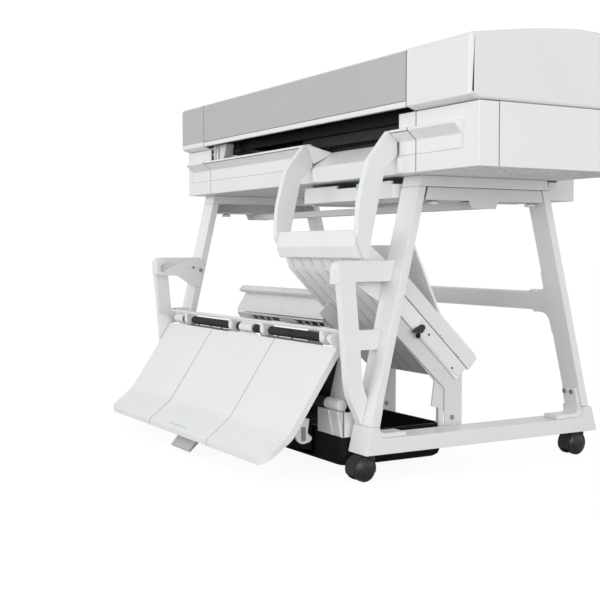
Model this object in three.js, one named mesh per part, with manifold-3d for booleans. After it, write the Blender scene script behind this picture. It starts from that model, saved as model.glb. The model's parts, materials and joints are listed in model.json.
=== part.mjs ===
// Large format plotter on a castered A-frame stand, with an automatic output stacker below it.
// Millimetres, +Z up. X runs along the carriage, the front of the machine faces -Y.
// The model is built about the middle of the stand and then centred on its footprint.
import * as THREE from "three";
import { mergeVertices } from "three/addons/utils/BufferGeometryUtils.js";
import Module from "manifold-3d";

const wasm = await Module();
wasm.setup();

// ---------- driving dimensions ----------
const GAP = 0.4; // clearance between pieces that touch
const RUN = 1.0; // running clearance round moving pieces

// stand
const LEG_PLANE = 530; // X of each A-frame's middle plane
const LEG_WIDTH = 66;
const LEG_THICK = 21;
const LEAN = 0.2383; // how far a front leg leans in Y for each millimetre of height
const REAR_LEAN = 0.2622;
const REAR_FACE = 335.4; // a rear leg's outer face at the height of the foot's bottom
const FOOT_HALF = 345; // half the foot's length at its bottom edge
const FOOT_WIDTH = 71;
const FOOT_BOTTOM = 60;
const RAIL_TOP = 95;
const FOOT_TOP = 121;
const LEG_TOP = 650;
const BEAM_TOP = 674.6;
const TUBE_WALL = 2.5;
const INNER_X = LEG_PLANE - LEG_WIDTH / 2; // inner side face of a front leg
const REAR_INNER_X = 504; // inner side face of a rear leg

// casters
const WHEEL_R = 27.5;
const WHEEL_HALF_WIDTH = 25;
const WHEEL_GAP = 8.5; // half the space between the twin wheels
const AXLE_R = 4;
const STEM_Y = 315; // a caster's swivel stands this far from the middle
const TRAIL = 20;

// printer body
const BODY_LEFT = -577;
const BODY_RIGHT = 823;
const BODY_BOTTOM = 675;
const BODY_REAR = 218;
const FACE_Y = -249.5;
const BROW_Y = -273; // front of the upper cover and of the ledge
const SEAM_Z = 806.6; // joint between the lower and the upper housing
const BODY_TOP = 972;
const WALL = 4;
const PANEL_LEFT = -417; // ends of the wide front panel
const PANEL_RIGHT = 611.5;
const FASCIA_WRAP_Y = -197; // the ink door wraps round the corner this far
const LEDGE_TOP = 773.5;

// guide arms and stacker
const ARM_LEFT = 165;
const ARM_RIGHT = 546;
const ARM_THICK = 16;
const TRAY_HALF = 470;
const TRAY_SEAM = 180;
const CHUTE_LEFT = 150;
const CHUTE_RIGHT = 487;
const CHUTE_SLOPE = Math.atan(0.97);

// ---------- materials ----------
function finish(color, roughness, metalness = 0) {
  return new THREE.MeshStandardMaterial({ color, roughness, metalness });
}
const WHITE = finish(0xeef0ef, 0.55);
const SOFT_WHITE = finish(0xe2e4e3, 0.5);
const GREY = finish(0xb9b9b7, 0.6);
const STEEL_WHITE = finish(0xdcdedd, 0.45, 0.1);
const DARK = finish(0x2b2c2d, 0.6);
const BLACK = finish(0x111213, 0.75);
const STEEL = finish(0xb4b7ba, 0.3, 0.9);
const PAPER = finish(0xf6f5f0, 0.9);

// ---------- solids ----------
const ALONG_X = new THREE.Matrix4().makeBasis(
  new THREE.Vector3(0, 1, 0), new THREE.Vector3(0, 0, 1), new THREE.Vector3(1, 0, 0));
const ALONG_Y = new THREE.Matrix4().makeBasis(
  new THREE.Vector3(1, 0, 0), new THREE.Vector3(0, 0, 1), new THREE.Vector3(0, -1, 0));

// A closed outline from corners [u, v] or [u, v, radius]; a radius rounds that corner.
function outline(corners) {
  const shape = new THREE.Shape();
  corners.forEach(([u, v, radius = 0], i) => {
    const here = new THREE.Vector2(u, v);
    const before = new THREE.Vector2(...corners.at(i - 1).slice(0, 2));
    const after = new THREE.Vector2(...corners[(i + 1) % corners.length].slice(0, 2));
    const from = here.clone().add(before.sub(here).setLength(radius || 1e-9));
    const to = here.clone().add(after.sub(here).setLength(radius || 1e-9));
    if (!radius) {
      from.copy(here);
    }
    if (i === 0) {
      shape.moveTo(from.x, from.y);
    } else {
      shape.lineTo(from.x, from.y);
    }
    if (radius) {
      shape.quadraticCurveTo(here.x, here.y, to.x, to.y);
    }
  });
  shape.closePath();
  return shape;
}

function extrude(shape, depth, segments = 4) {
  return new THREE.ExtrudeGeometry(shape, { depth, bevelEnabled: false, curveSegments: segments });
}

// A Y-Z outline pulled along X, an X-Z outline pulled along Y, or an X-Y outline pulled up.
function alongX(corners, x0, x1) {
  return extrude(outline(corners), x1 - x0).applyMatrix4(ALONG_X).translate(x0, 0, 0);
}
function alongY(corners, y0, y1) {
  return extrude(outline(corners), y1 - y0).applyMatrix4(ALONG_Y).translate(0, y1, 0);
}
function upward(corners, z0, z1) {
  return extrude(outline(corners), z1 - z0).translate(0, 0, z0);
}

function block(x0, x1, y0, y1, z0, z1) {
  const geometry = new THREE.BoxGeometry(x1 - x0, y1 - y0, z1 - z0);
  return geometry.translate((x0 + x1) / 2, (y0 + y1) / 2, (z0 + z1) / 2);
}

function rodX(radius, x0, x1, y, z, sides = 20) {
  const geometry = new THREE.CylinderGeometry(radius, radius, x1 - x0, sides);
  return geometry.rotateZ(-Math.PI / 2).translate((x0 + x1) / 2, y, z);
}

function rodZ(radius, x, y, z0, z1, sides = 20) {
  const geometry = new THREE.CylinderGeometry(radius, radius, z1 - z0, sides);
  return geometry.rotateX(Math.PI / 2).translate(x, y, (z0 + z1) / 2);
}

function solid(geometry) {
  const bare = geometry.clone();
  bare.deleteAttribute("normal");
  bare.deleteAttribute("uv");
  const merged = mergeVertices(bare, 1e-4);
  return new wasm.Manifold(new wasm.Mesh({
    numProp: 3,
    vertProperties: new Float32Array(merged.attributes.position.array),
    triVerts: new Uint32Array(merged.index.array),
  }));
}

function geometryOf(manifold) {
  const mesh = manifold.getMesh();
  const geometry = new THREE.BufferGeometry();
  geometry.setAttribute("position", new THREE.BufferAttribute(mesh.vertProperties, 3));
  geometry.setIndex(new THREE.BufferAttribute(mesh.triVerts, 1));
  const flat = geometry.toNonIndexed();
  flat.computeVertexNormals();
  return flat;
}

function join(...pieces) {
  return geometryOf(pieces.map(solid).reduce((a, b) => a.add(b)));
}

function cut(body, ...tools) {
  return geometryOf(tools.map(solid).reduce((a, b) => a.subtract(b), solid(body)));
}

function part(name, geometry, material) {
  const mesh = new THREE.Mesh(geometry, material);
  mesh.name = name;
  return mesh;
}

function assembly(...children) {
  const group = new THREE.Group();
  group.add(...children);
  return group;
}

// ---------- stand ----------
// Distance from the middle to a leg's outer face at a height.
// How far a leg's outer face stands from the middle; the side is -1 in front and +1 at the rear.
function legFace(z, side) {
  return side < 0 ? FOOT_HALF - LEAN * (z - FOOT_BOTTOM) : REAR_FACE - REAR_LEAN * (z - FOOT_BOTTOM);
}

function foot(name) {
  const frontEnd = legFace(FOOT_TOP, -1);
  const frontHeel = frontEnd - LEG_THICK;
  const rearHeel = legFace(FOOT_TOP, 1) - LEG_THICK;
  const rearEnd = 326;
  const bend = 22;
  const drop = FOOT_TOP - RAIL_TOP;
  const section = [
    [-FOOT_HALF, FOOT_BOTTOM, 3], [FOOT_HALF, FOOT_BOTTOM, 3], [rearEnd, FOOT_TOP], [rearHeel, FOOT_TOP],
    [rearHeel + REAR_LEAN * drop, RAIL_TOP, bend], [-frontHeel - LEAN * drop, RAIL_TOP, bend],
    [-frontHeel, FOOT_TOP], [-frontEnd, FOOT_TOP],
  ];
  const body = alongX(section, LEG_PLANE - FOOT_WIDTH / 2, LEG_PLANE + FOOT_WIDTH / 2);
  const side = FOOT_WIDTH / 2 - TUBE_WALL;
  const hollow = block(LEG_PLANE - side, LEG_PLANE + side, -275, 275,
    FOOT_BOTTOM - 2, RAIL_TOP - TUBE_WALL);
  return part(name, cut(body, hollow), WHITE);
}

// A leg is a flat tube, open at both ends, that leans towards the middle.
// The side is -1 for a front leg and +1 for a rear leg.
function leg(name, side) {
  const z0 = FOOT_TOP + GAP;
  const z1 = LEG_TOP - GAP;
  const inner = side < 0 ? INNER_X : REAR_INNER_X;
  const face = (z, depth) => [side * (legFace(z, side) - depth), z];
  const corners = [face(z0, LEG_THICK), face(z0, 0), face(z1, 0), face(z1, LEG_THICK)];
  const low = z0 - 5;
  const high = z1 + 5;
  const bore = [face(low, LEG_THICK - TUBE_WALL), face(low, TUBE_WALL), face(high, TUBE_WALL),
    face(high, LEG_THICK - TUBE_WALL)];
  if (side < 0) {
    corners.reverse();
    bore.reverse();
  }
  const tube = cut(alongX(corners, inner, LEG_PLANE + LEG_WIDTH / 2),
    alongX(bore, inner + TUBE_WALL, LEG_PLANE + LEG_WIDTH / 2 - TUBE_WALL));
  return part(name, tube, WHITE);
}

function sideBeam(name) {
  const section = [
    [-legFace(LEG_TOP, -1), LEG_TOP], [legFace(LEG_TOP, 1), LEG_TOP],
    [legFace(BEAM_TOP, 1), BEAM_TOP], [-legFace(BEAM_TOP, -1), BEAM_TOP],
  ];
  const bar = alongX(section, INNER_X, LEG_PLANE + LEG_WIDTH / 2);
  const side = LEG_WIDTH / 2 - TUBE_WALL;
  const hollow = block(LEG_PLANE - side, LEG_PLANE + side, -180, 160,
    LEG_TOP - 2, BEAM_TOP - TUBE_WALL);
  return part(name, cut(bar, hollow), WHITE);
}

const CROSSBEAM_BOTTOM = 603;
const CROSSBEAM_TOP = 620.5;
const CROSSBEAM_Y = [-36, -2];

// Crossbeam with a hanger plate at each end, between the legs and up under the side beam.
function topCrossbeam() {
  const plate = [
    [-183, CROSSBEAM_TOP], [-60, CROSSBEAM_TOP], [-51, CROSSBEAM_BOTTOM], [18, CROSSBEAM_BOTTOM],
    [27, CROSSBEAM_TOP], [166, CROSSBEAM_TOP], [158, LEG_TOP - GAP], [-177, LEG_TOP - GAP],
  ];
  const sheet = 4;
  const face = LEG_PLANE + 30;
  const hangers = [alongX(plate, -face, -face + sheet), alongX(plate, face - sheet, face)];
  const bar = block(-face + 1, face - 1, ...CROSSBEAM_Y, CROSSBEAM_BOTTOM, CROSSBEAM_TOP);
  return part("top_crossbeam", join(bar, ...hangers), STEEL_WHITE);
}

// Rear brace leaning in the plane of the rear legs, with a thicker end and an upright flange at each leg.
function rearBrace() {
  const bar = 22.9; // half the bar's height
  const stub = 28.3; // half the height of its thicker ends
  const shoulder = 444;
  const end = REAR_INNER_X - GAP;
  const flange = end - 6;
  const [down, up] = [-81, 75];
  const half = [
    [shoulder, -bar], [shoulder, -stub], [flange, -stub, 28], [flange, down], [end, down],
    [end, up], [flange, up], [flange, stub, 12], [shoulder, stub], [shoulder, bar],
  ];
  const other = half.map(([x, z, ...round]) => [-x, z, ...round]).reverse();
  const thick = 13;
  const mesh = part("rear_brace", alongY([...half, ...other], -thick / 2, thick / 2), SOFT_WHITE);
  const height = 382;
  mesh.position.set(0, legFace(height, 1) - LEG_THICK / 2, height);
  mesh.rotation.x = Math.atan(REAR_LEAN);
  return mesh;
}

// F-shaped arm on the front leg, with an inner cheek that takes a hanging rod in its groove.
function hookBracket(name) {
  const leg = (z) => -legFace(z, -1) - GAP;
  const outer = LEG_PLANE;
  const inner = INNER_X - GAP - 4;
  const corner = 24;
  const fBar = [
    [leg(485), 485], [-395, 485, corner], [-388.4, 429], [-384, 388], [-379.8, 337],
    [-373.6, 260], [-370.4, 223], [-364.5, 184, 24], [-334, 124.7, 3], [leg(124.7), 124.7],
    [leg(178), 178], [-318.5, 184, 4], [-327.4, 202.4, 10], [-330, 221, 10], [-336, 288.5, 4],
    [leg(288.5), 288.5], [leg(332), 332], [-340, 332, 4], [-350, 439, 4], [leg(439), 439],
  ];
  const web = [
    [-392, 433, 3], [-348, 433, 3], [-348, 439], [-388, 439], [-388, 481, corner - 4],
    [-364, 481], [-364, 485], [-392, 485, corner],
  ];
  const cheek = [
    [-392, 432, 4], [-324, 430, 8], [-299, 412.6], [-270, 396], [-250, 400], [-238, 470, 8],
    [-256, 482, 10], [-292, 478], [-332, 463.5], [-365, 447, 5], [-373, 440.5, 5],
    [-381, 446, 5], [-381, 460, 3], [-359, 472, 2], [-359, 479, 2], [-364, 485, 2],
    [-392, 485, corner],
  ];
  return part(name, join(alongX([...fBar].reverse(), outer - LEG_THICK, outer),
    alongX(web, inner + 1, outer - 1), alongX(cheek, inner, inner + 4)), WHITE);
}

function mirrored(...children) {
  const group = assembly(...children);
  group.scale.x = -1;
  return group;
}

function casterHousing(name) {
  const half = WHEEL_GAP - RUN;
  const hood = [
    [-TRAIL - 19, 17, 6], [-TRAIL + 20, 15, 6], [14, 40, 8], [14, FOOT_BOTTOM - 5, 4],
    [-14, FOOT_BOTTOM - 5, 6], [-TRAIL - 19, 44, 14],
  ];
  const stem = rodZ(13, 0, 0, FOOT_BOTTOM - 6, FOOT_BOTTOM - GAP);
  const bore = rodX(AXLE_R + 0.4, -2 * half, 2 * half, -TRAIL, WHEEL_R, 12);
  return part(name, cut(join(alongX(hood, -half, half), stem), bore), DARK);
}

// Two wheels on one axle; each has a rounded tread and a dished outer face.
function casterWheels(name) {
  const tread = [
    [0, -WHEEL_HALF_WIDTH], [WHEEL_R - 6, -WHEEL_HALF_WIDTH], [WHEEL_R - 1.5, -WHEEL_HALF_WIDTH + 3],
    [WHEEL_R, -WHEEL_HALF_WIDTH + 7], [WHEEL_R, -WHEEL_GAP - 1.5], [WHEEL_R - 1.5, -WHEEL_GAP],
    [AXLE_R, -WHEEL_GAP], [AXLE_R, WHEEL_GAP], [WHEEL_R - 1.5, WHEEL_GAP],
    [WHEEL_R, WHEEL_GAP + 1.5], [WHEEL_R, WHEEL_HALF_WIDTH - 7], [WHEEL_R - 1.5, WHEEL_HALF_WIDTH - 3],
    [WHEEL_R - 6, WHEEL_HALF_WIDTH], [0, WHEEL_HALF_WIDTH],
  ];
  const profile = tread.map(([r, h]) => new THREE.Vector2(r, h));
  const wheels = new THREE.LatheGeometry(profile, 28).rotateZ(-Math.PI / 2);
  return part(name, wheels.translate(0, -TRAIL, WHEEL_R), BLACK);
}

function caster(place, side, end) {
  const group = assembly(casterHousing(`caster_housing_${place}`), casterWheels(`caster_wheels_${place}`));
  group.position.set(side * LEG_PLANE, end * STEM_Y, 0);
  return group;
}

function aFrame(side) {
  return [
    foot(`foot_rail_${side}`), leg(`front_leg_${side}`, -1), leg(`rear_leg_${side}`, 1),
    sideBeam(`side_beam_${side}`), hookBracket(`hook_bracket_${side}`),
  ];
}

function stand() {
  return assembly(
    ...aFrame("right"), mirrored(...aFrame("left")), topCrossbeam(), rearBrace(),
    caster("front_right", 1, -1), caster("rear_right", 1, 1),
    caster("front_left", -1, -1), caster("rear_left", -1, 1),
  );
}

// ---------- printer ----------
const FLOOR_THICK = 5;
const INSIDE_Z = BODY_BOTTOM + FLOOR_THICK;

function ventSlots(x0, rows) {
  const slots = [];
  for (let row = 0; row < rows; row += 1) {
    for (let i = 0; i < 5; i += 1) {
      const x = x0 + i * 42;
      const y = -170 + row * 90;
      slots.push(block(x, x + 30, y, y + 9, BODY_BOTTOM - 2, INSIDE_Z + 2));
    }
  }
  return slots;
}

// Floor of the printer, with the two runners that the sheet cassette slides on.
function basePan() {
  const pan = block(BODY_LEFT + WALL + 2, BODY_RIGHT - WALL - 2, FACE_Y + 6, BODY_REAR - WALL - GAP,
    BODY_BOTTOM, INSIDE_Z);
  const c = CASSETTE;
  const hang = [[0, BODY_BOTTOM + 1], [-4, BODY_BOTTOM + 1], [-4, c.z0 - 4.5], [7, c.z0 - 4.5],
    [7, c.z0 - GAP], [0, c.z0 - GAP]];
  const left = alongY(hang.map(([x, z]) => [c.x0 - GAP + x, z]), c.y0 + 30, c.y1 + 10);
  const right = alongY(hang.map(([x, z]) => [c.x1 + GAP - x, z]).reverse(), c.y0 + 30, c.y1 + 10);
  return part("base_pan", join(cut(pan, ...ventSlots(600, 4)), left, right), SOFT_WHITE);
}

// Front face with the ledge that overhangs it.
const LEDGE_SECTION = [
  [FACE_Y, BODY_BOTTOM + GAP], [FACE_Y + 5, BODY_BOTTOM + GAP], [FACE_Y + 5, LEDGE_TOP],
  [FACE_Y, LEDGE_TOP], [BROW_Y, 769.5], [BROW_Y, 764.5], [FACE_Y, 745],
];

// Front panel: the ledge is cut away between the guide arms, where a ramp leads the sheets down.
function frontPanel() {
  const ramp = [
    [FACE_Y, BODY_BOTTOM + GAP], [FACE_Y + 5, BODY_BOTTOM + GAP], [FACE_Y + 5, 711],
    [-206, 741], [-206, 745.5], [-210, 745.5], [FACE_Y, 714.5],
  ];
  const left = ARM_LEFT - RUN;
  const right = ARM_RIGHT + RUN;
  return part("front_panel", join(
    alongX(LEDGE_SECTION, PANEL_LEFT, left), alongX(ramp, left - 5, right + 5),
    alongX(LEDGE_SECTION, right, PANEL_RIGHT)), WHITE);
}

// Ends of the front: the ledge stops short of the corner, and a flat band runs up to the seam.
function fasciaLeft() {
  const ledgeEnd = -544;
  const plain = [[FACE_Y, BODY_BOTTOM + GAP], [FACE_Y + 5, BODY_BOTTOM + GAP], [FACE_Y + 5, SEAM_Z - GAP],
    [FACE_Y, SEAM_Z - GAP]];
  const right = PANEL_LEFT - GAP;
  return part("fascia_left", join(
    alongX(plain, BODY_LEFT, right), alongX(LEDGE_SECTION, ledgeEnd, right),
    block(BODY_LEFT, BODY_LEFT + WALL, FACE_Y, FASCIA_WRAP_Y, BODY_BOTTOM + GAP, SEAM_Z - GAP)), WHITE);
}

// The ink door wraps round the right corner and swings out about the edge it ends in there.
function inkDoor() {
  const ledgeEnd = 772;
  const low = BODY_BOTTOM + GAP;
  const high = SEAM_Z - RUN;
  const left = PANEL_RIGHT + RUN;
  const plain = [[FACE_Y, low], [FACE_Y + 5, low], [FACE_Y + 5, high], [FACE_Y, high]];
  return part("ink_door", join(
    alongX(plain, left, BODY_RIGHT), alongX(LEDGE_SECTION, left, ledgeEnd),
    block(BODY_RIGHT - WALL, BODY_RIGHT, FACE_Y, FASCIA_WRAP_Y - RUN, low, high)), WHITE);
}

function sidePanel(name, x) {
  return part(name, block(x, x + WALL, FASCIA_WRAP_Y + GAP, BODY_REAR, BODY_BOTTOM + GAP, SEAM_Z - GAP),
    WHITE);
}

const INLET = { x: 640, z: 720, halfWidth: 15, halfHeight: 11 };

function rearPanel() {
  const plate = block(BODY_LEFT + WALL + GAP, BODY_RIGHT - WALL - GAP, BODY_REAR - WALL, BODY_REAR,
    BODY_BOTTOM + GAP, SEAM_Z - GAP);
  const hole = block(INLET.x - INLET.halfWidth - 3, INLET.x + INLET.halfWidth + 3, BODY_REAR - 20,
    BODY_REAR + 20, INLET.z - INLET.halfHeight - 3, INLET.z + INLET.halfHeight + 3);
  return part("rear_panel", cut(plate, hole), SOFT_WHITE);
}

// Mains inlet: a socket with an open recess in the rear panel.
function powerInlet() {
  const rim = 2.4;
  const depth = 22;
  const body = block(INLET.x - INLET.halfWidth - rim, INLET.x + INLET.halfWidth + rim,
    BODY_REAR - depth, BODY_REAR, INLET.z - INLET.halfHeight - rim, INLET.z + INLET.halfHeight + rim);
  const recess = block(INLET.x - INLET.halfWidth, INLET.x + INLET.halfWidth, BODY_REAR - depth + 4,
    BODY_REAR + 1, INLET.z - INLET.halfHeight, INLET.z + INLET.halfHeight);
  return part("power_inlet", cut(body, recess), BLACK);
}

// Outer outline of the upper housing in the Y-Z plane, and where it splits into lid and roll cover.
const LID_REAR = 20;
const ROLL_COVER_FRONT = LID_REAR + 2;
const BROW = [[FACE_Y, SEAM_Z], [BROW_Y, 821], [BROW_Y, 931], [BROW_Y + 6, 938]];
const TOP_FRONT_Z = 962;
const BUTTON = { x: 722, y: -210, radius: 9 };

function upperEnd(name, x0, x1, openSide) {
  const skin = [
    ...BROW, [-100, TOP_FRONT_Z, 60], [LID_REAR, BODY_TOP, 20], [120, BODY_TOP - 2, 60],
    [BODY_REAR, 915, 50], [BODY_REAR, SEAM_Z],
  ].reverse();
  const hollow = [
    [FACE_Y + WALL, SEAM_Z - 5], [FACE_Y + WALL, 812], [BROW_Y + WALL, 824], [BROW_Y + WALL, 929],
    [-100, TOP_FRONT_Z - 6, 60], [LID_REAR, BODY_TOP - 6, 20], [120, BODY_TOP - 8, 50],
    [BODY_REAR - WALL, 911, 45], [BODY_REAR - WALL, SEAM_Z - 5],
  ].reverse();
  const inner = openSide > 0 ? [x0 + WALL, x1 + 5] : [x0 - 5, x1 - WALL];
  const buttonHole = rodZ(BUTTON.radius + 0.6, BUTTON.x, BUTTON.y, 900, 1000);
  return part(name, cut(alongX(skin, x0, x1), alongX(hollow, ...inner), buttonHole), SOFT_WHITE);
}

// Lid over the print zone: front brow and top plate, hinged at its rear edge.
function lid() {
  const thick = 3;
  const section = [
    [BROW_Y + 8, 821], [BROW_Y, 821], [BROW_Y, 931], [BROW_Y + 6, 938], [-100, TOP_FRONT_Z, 60],
    [LID_REAR, BODY_TOP - 1], [LID_REAR, BODY_TOP - 1 - thick], [-100, TOP_FRONT_Z - thick, 60],
    [BROW_Y + 8, 934], [BROW_Y + thick, 929], [BROW_Y + thick, 826], [BROW_Y + 8, 826],
  ].reverse();
  return part("lid", alongX(section, PANEL_LEFT + 2 + RUN, PANEL_RIGHT - 2 - RUN), GREY);
}

function rollCover() {
  const thick = 3;
  const section = [
    [ROLL_COVER_FRONT, BODY_TOP], [120, BODY_TOP - 2, 60], [BODY_REAR, 915, 50], [BODY_REAR, SEAM_Z + RUN],
    [BODY_REAR - thick, SEAM_Z + RUN], [BODY_REAR - thick, 913, 50], [120, BODY_TOP - 2 - thick, 60],
    [ROLL_COVER_FRONT, BODY_TOP - thick],
  ].reverse();
  return part("roll_cover", alongX(section, PANEL_LEFT + 2 + RUN, PANEL_RIGHT - 2 - RUN), SOFT_WHITE);
}

const PAPER_ROLL = { x0: -390, x1: 530, y: 112, z: 868, radius: 60, core: 26 };

function paperRoll() {
  const r = PAPER_ROLL;
  return part("paper_roll", cut(rodX(r.radius, r.x0, r.x1, r.y, r.z, 32),
    rodX(r.core, r.x0 - 5, r.x1 + 5, r.y, r.z, 20)), PAPER);
}

function spindle() {
  const r = PAPER_ROLL;
  const flange = 42;
  return part("roll_spindle", join(
    rodX(r.core - 1, r.x0 - 12, r.x1 + 12, r.y, r.z, 20),
    rodX(flange, r.x0 - 12, r.x0 - GAP, r.y, r.z, 28), rodX(flange, r.x1 + GAP, r.x1 + 12, r.y, r.z, 28),
    rodX(9, r.x0 - 34, r.x1 + 34, r.y, r.z, 16)), DARK);
}

// A cradle at each end of the spindle, both carried by one rear beam.
function rollCradle() {
  const r = PAPER_ROLL;
  const cheek = [
    [r.y + 60, 790], [r.y + 60, 850, 8], [r.y + 24, 858, 4], [r.y + 9.5 + RUN, r.z - 9, 6],
    [r.y, r.z - 20, 9], [r.y - 9.5 - RUN, r.z - 9, 6], [r.y - 24, 858, 4], [r.y - 60, 840, 8],
    [r.y - 60, 790],
  ];
  const beam = block(r.x0 - 30, r.x1 + 30, r.y - 60, r.y + 60, 780, 791);
  return part("roll_cradle", join(beam, alongX(cheek, r.x0 - 30, r.x0 - 18),
    alongX(cheek, r.x1 + 18, r.x1 + 30)), DARK);
}

const MEDIA_LEFT = -392;
const MEDIA_RIGHT = 545;
const PLATEN_TOP = 765;

// Platen with a comb of ribs along its front edge.
function platen() {
  const deck = alongX([[-203, 752], [-66, 752], [-66, PLATEN_TOP], [-196, PLATEN_TOP], [-203, 760]],
    MEDIA_LEFT, MEDIA_RIGHT);
  const web = block(MEDIA_LEFT, MEDIA_RIGHT, -112, -106, INSIDE_Z + GAP, 753);
  const ribs = [];
  const pitch = 39;
  for (let x = MEDIA_LEFT + 12; x < MEDIA_RIGHT - 10; x += pitch) {
    ribs.push(block(x, x + 8, -194, -100, PLATEN_TOP - 1, PLATEN_TOP + 3));
  }
  return part("platen", join(deck, web, ...ribs), BLACK);
}

const DRIVE = { y: -40, z: 752, radius: 16 };

function driveRoller() {
  return part("drive_roller", join(
    rodX(DRIVE.radius, MEDIA_LEFT, MEDIA_RIGHT, DRIVE.y, DRIVE.z, 24),
    rodX(6, MEDIA_LEFT - 22, MEDIA_RIGHT + 22, DRIVE.y, DRIVE.z, 12)), STEEL);
}

const RAIL_Y = [-70, -36];
const RAIL_Z = [812, 852];

function carriageRail() {
  return part("carriage_rail", block(BODY_LEFT + WALL + GAP, BODY_RIGHT - WALL - GAP,
    ...RAIL_Y, ...RAIL_Z), DARK);
}

// The carriage hooks over the rail and hangs in front of it.
function carriage() {
  const section = [
    [-178, 778, 4], [-78, 778], [-72, 800], [-72, 856], [-34, 856], [-34, 832], [-28, 832],
    [-28, 872, 4], [-170, 872, 12], [-178, 850, 6],
  ];
  return part("carriage", alongX(section, 660, 780), DARK);
}

// Ink station: a bay with four open slots side by side, behind the ink door.
const INK_SLOTS = 4;

function inkStation() {
  const width = 42;
  const x0 = 628;
  const bay = block(x0 - 4, x0 + INK_SLOTS * (width + 4), -170, -96, INSIDE_Z + GAP, 776);
  const slots = [];
  for (let i = 0; i < INK_SLOTS; i += 1) {
    const x = x0 + i * (width + 4);
    slots.push(block(x, x + width, -180, -100, INSIDE_Z + 8, 768));
  }
  return part("ink_station", cut(bay, ...slots), DARK);
}

function powerButton() {
  return part("power_button", rodZ(BUTTON.radius, BUTTON.x, BUTTON.y, 936, 948.5), GREY);
}

// Sheet cassette: a shallow open tray under the body, with a grip notch and a rounded front.
const CASSETTE = { x0: 65, x1: 488, y0: -212, y1: 150, z0: 627, z1: 667 };

function sheetCassette() {
  const c = CASSETTE;
  const shell = upward([[c.x0, c.y0, 14], [c.x1, c.y0, 22], [c.x1, c.y1, 6], [c.x0, c.y1, 6]], c.z0, c.z1);
  const well = upward([[c.x0 + 4, c.y0 + 6, 8], [c.x1 - 4, c.y0 + 6, 8], [c.x1 - 4, c.y1 - 4],
    [c.x0 + 4, c.y1 - 4]], c.z0 + 4, c.z1 + 5);
  const notch = block(c.x0 + 170, c.x0 + 290, c.y0 - 5, c.y0 + 8, c.z1 - 9, c.z1 + 5);
  return part("sheet_cassette", cut(shell, well, notch), WHITE);
}

// Supply box behind the body: it hangs below the body's rear edge and reaches a little under it.
function supplyBox() {
  const section = [
    [192, 627], [275, 627, 3], [275, 760, 6], [BODY_REAR + RUN, 760], [BODY_REAR + RUN, 672], [192, 672],
  ];
  return part("supply_box", alongX(section, 330, 549), SOFT_WHITE);
}

function printer() {
  return assembly(
    basePan(), frontPanel(), fasciaLeft(), inkDoor(),
    sidePanel("side_panel_right", BODY_RIGHT - WALL), sidePanel("side_panel_left", BODY_LEFT),
    rearPanel(), powerInlet(),
    upperEnd("upper_end_left", BODY_LEFT, PANEL_LEFT + 2, 1),
    upperEnd("upper_end_right", PANEL_RIGHT - 2, BODY_RIGHT, -1),
    lid(), rollCover(), paperRoll(), spindle(), rollCradle(), platen(), driveRoller(), carriageRail(),
    carriage(), inkStation(), powerButton(), sheetCassette(), supplyBox(),
  );
}

// ---------- guide arms ----------
const ARM_FRONT = [
  [-275, 769], [-325, 707], [-339, 663], [-351, 614], [-355.5, 560], [-355, 540], [-331, 490],
];
const ARM_BACK = [
  [-320, 490], [-320, 525], [-297, 625], [-285, 680], [FACE_Y - RUN, 716], [FACE_Y - RUN, 769],
];

function guideArm(name, x) {
  return part(name, alongX([...ARM_FRONT, ...ARM_BACK], x, x + ARM_THICK), WHITE);
}

function guideCrossbar() {
  const section = [
    [-347, 553, 4], [-353, 540], [-330, 490, 3], [-316, 490, 3], [-316, 502], [-336, 543], [-336, 553, 4],
  ];
  return part("guide_crossbar", alongX(section, ARM_LEFT + ARM_THICK + GAP, ARM_RIGHT - ARM_THICK - GAP),
    WHITE);
}

// ---------- stacker ----------
// The chute: top line of its side cheeks, from the flared mouth down one straight slope.
const MOUTH = [[-284, 520], [-237, 483], [-180, 447]];
const CHUTE_DEPTH = 76;

// A point at a distance below the chute's top line, square to it.
function chutePoint(y, depth) {
  const z = MOUTH[2][1] - Math.tan(CHUTE_SLOPE) * (y - MOUTH[2][0]);
  return [y - depth * Math.sin(CHUTE_SLOPE), z - depth * Math.cos(CHUTE_SLOPE)];
}

// Side cheeks with a front plate and a steep rear plate between them.
function chute() {
  const front = [[-311.5, 487], [-300, 462], [-262, 423]];
  const low = chutePoint(17, CHUTE_DEPTH);
  const cheek = [
    ...MOUTH, chutePoint(25, 0), chutePoint(25, 36), chutePoint(19, 42), low, ...[...front].reverse(),
  ].reverse();
  const plate = [
    ...front, low, chutePoint(17, CHUTE_DEPTH - 5), [-258, 426], [-295, 465], [-305, 489],
  ];
  const hood = [[-164, 520], [-86, 355], [18, 254.5], [22, 258], [-81, 358], [-158, 520]];
  const thick = 6;
  const inside = [CHUTE_LEFT + 1, CHUTE_RIGHT - 1];
  return part("chute", join(
    alongX(cheek, CHUTE_LEFT, CHUTE_LEFT + thick), alongX(cheek, CHUTE_RIGHT - thick, CHUTE_RIGHT),
    alongX(plate, ...inside), alongX(hood, ...inside)), STEEL_WHITE);
}

// A curved access cover with a finger lip along its top; it tips forward about its lower edge.
function curvedCover(name, x0, x1) {
  const section = [
    [-131.5, 321], [-128, 332], [-119.5, 345], [-110, 360], [-101, 376.5], [-116, 377.8],
    [-124.5, 386], [-111, 398.5], [-93, 397.5], [-93, 380], [-97.5, 374], [-106.5, 359],
    [-116, 343], [-124, 331], [-127, 321],
  ].reverse();
  return part(name, alongX(section, x0, x1), SOFT_WHITE);
}

// Folded duct behind the covers that carries the sheets across to the chute.
function transportDuct() {
  const section = [
    [-112, 314], [-20, 300], [-16, 304], [-16, 392], [-80, 396], [-80, 392], [-20, 388], [-20, 306],
    [-112, 318.5],
  ];
  return part("transport_duct", alongX(section, -TRAY_HALF + 2, CHUTE_LEFT - GAP), STEEL_WHITE);
}

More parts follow.
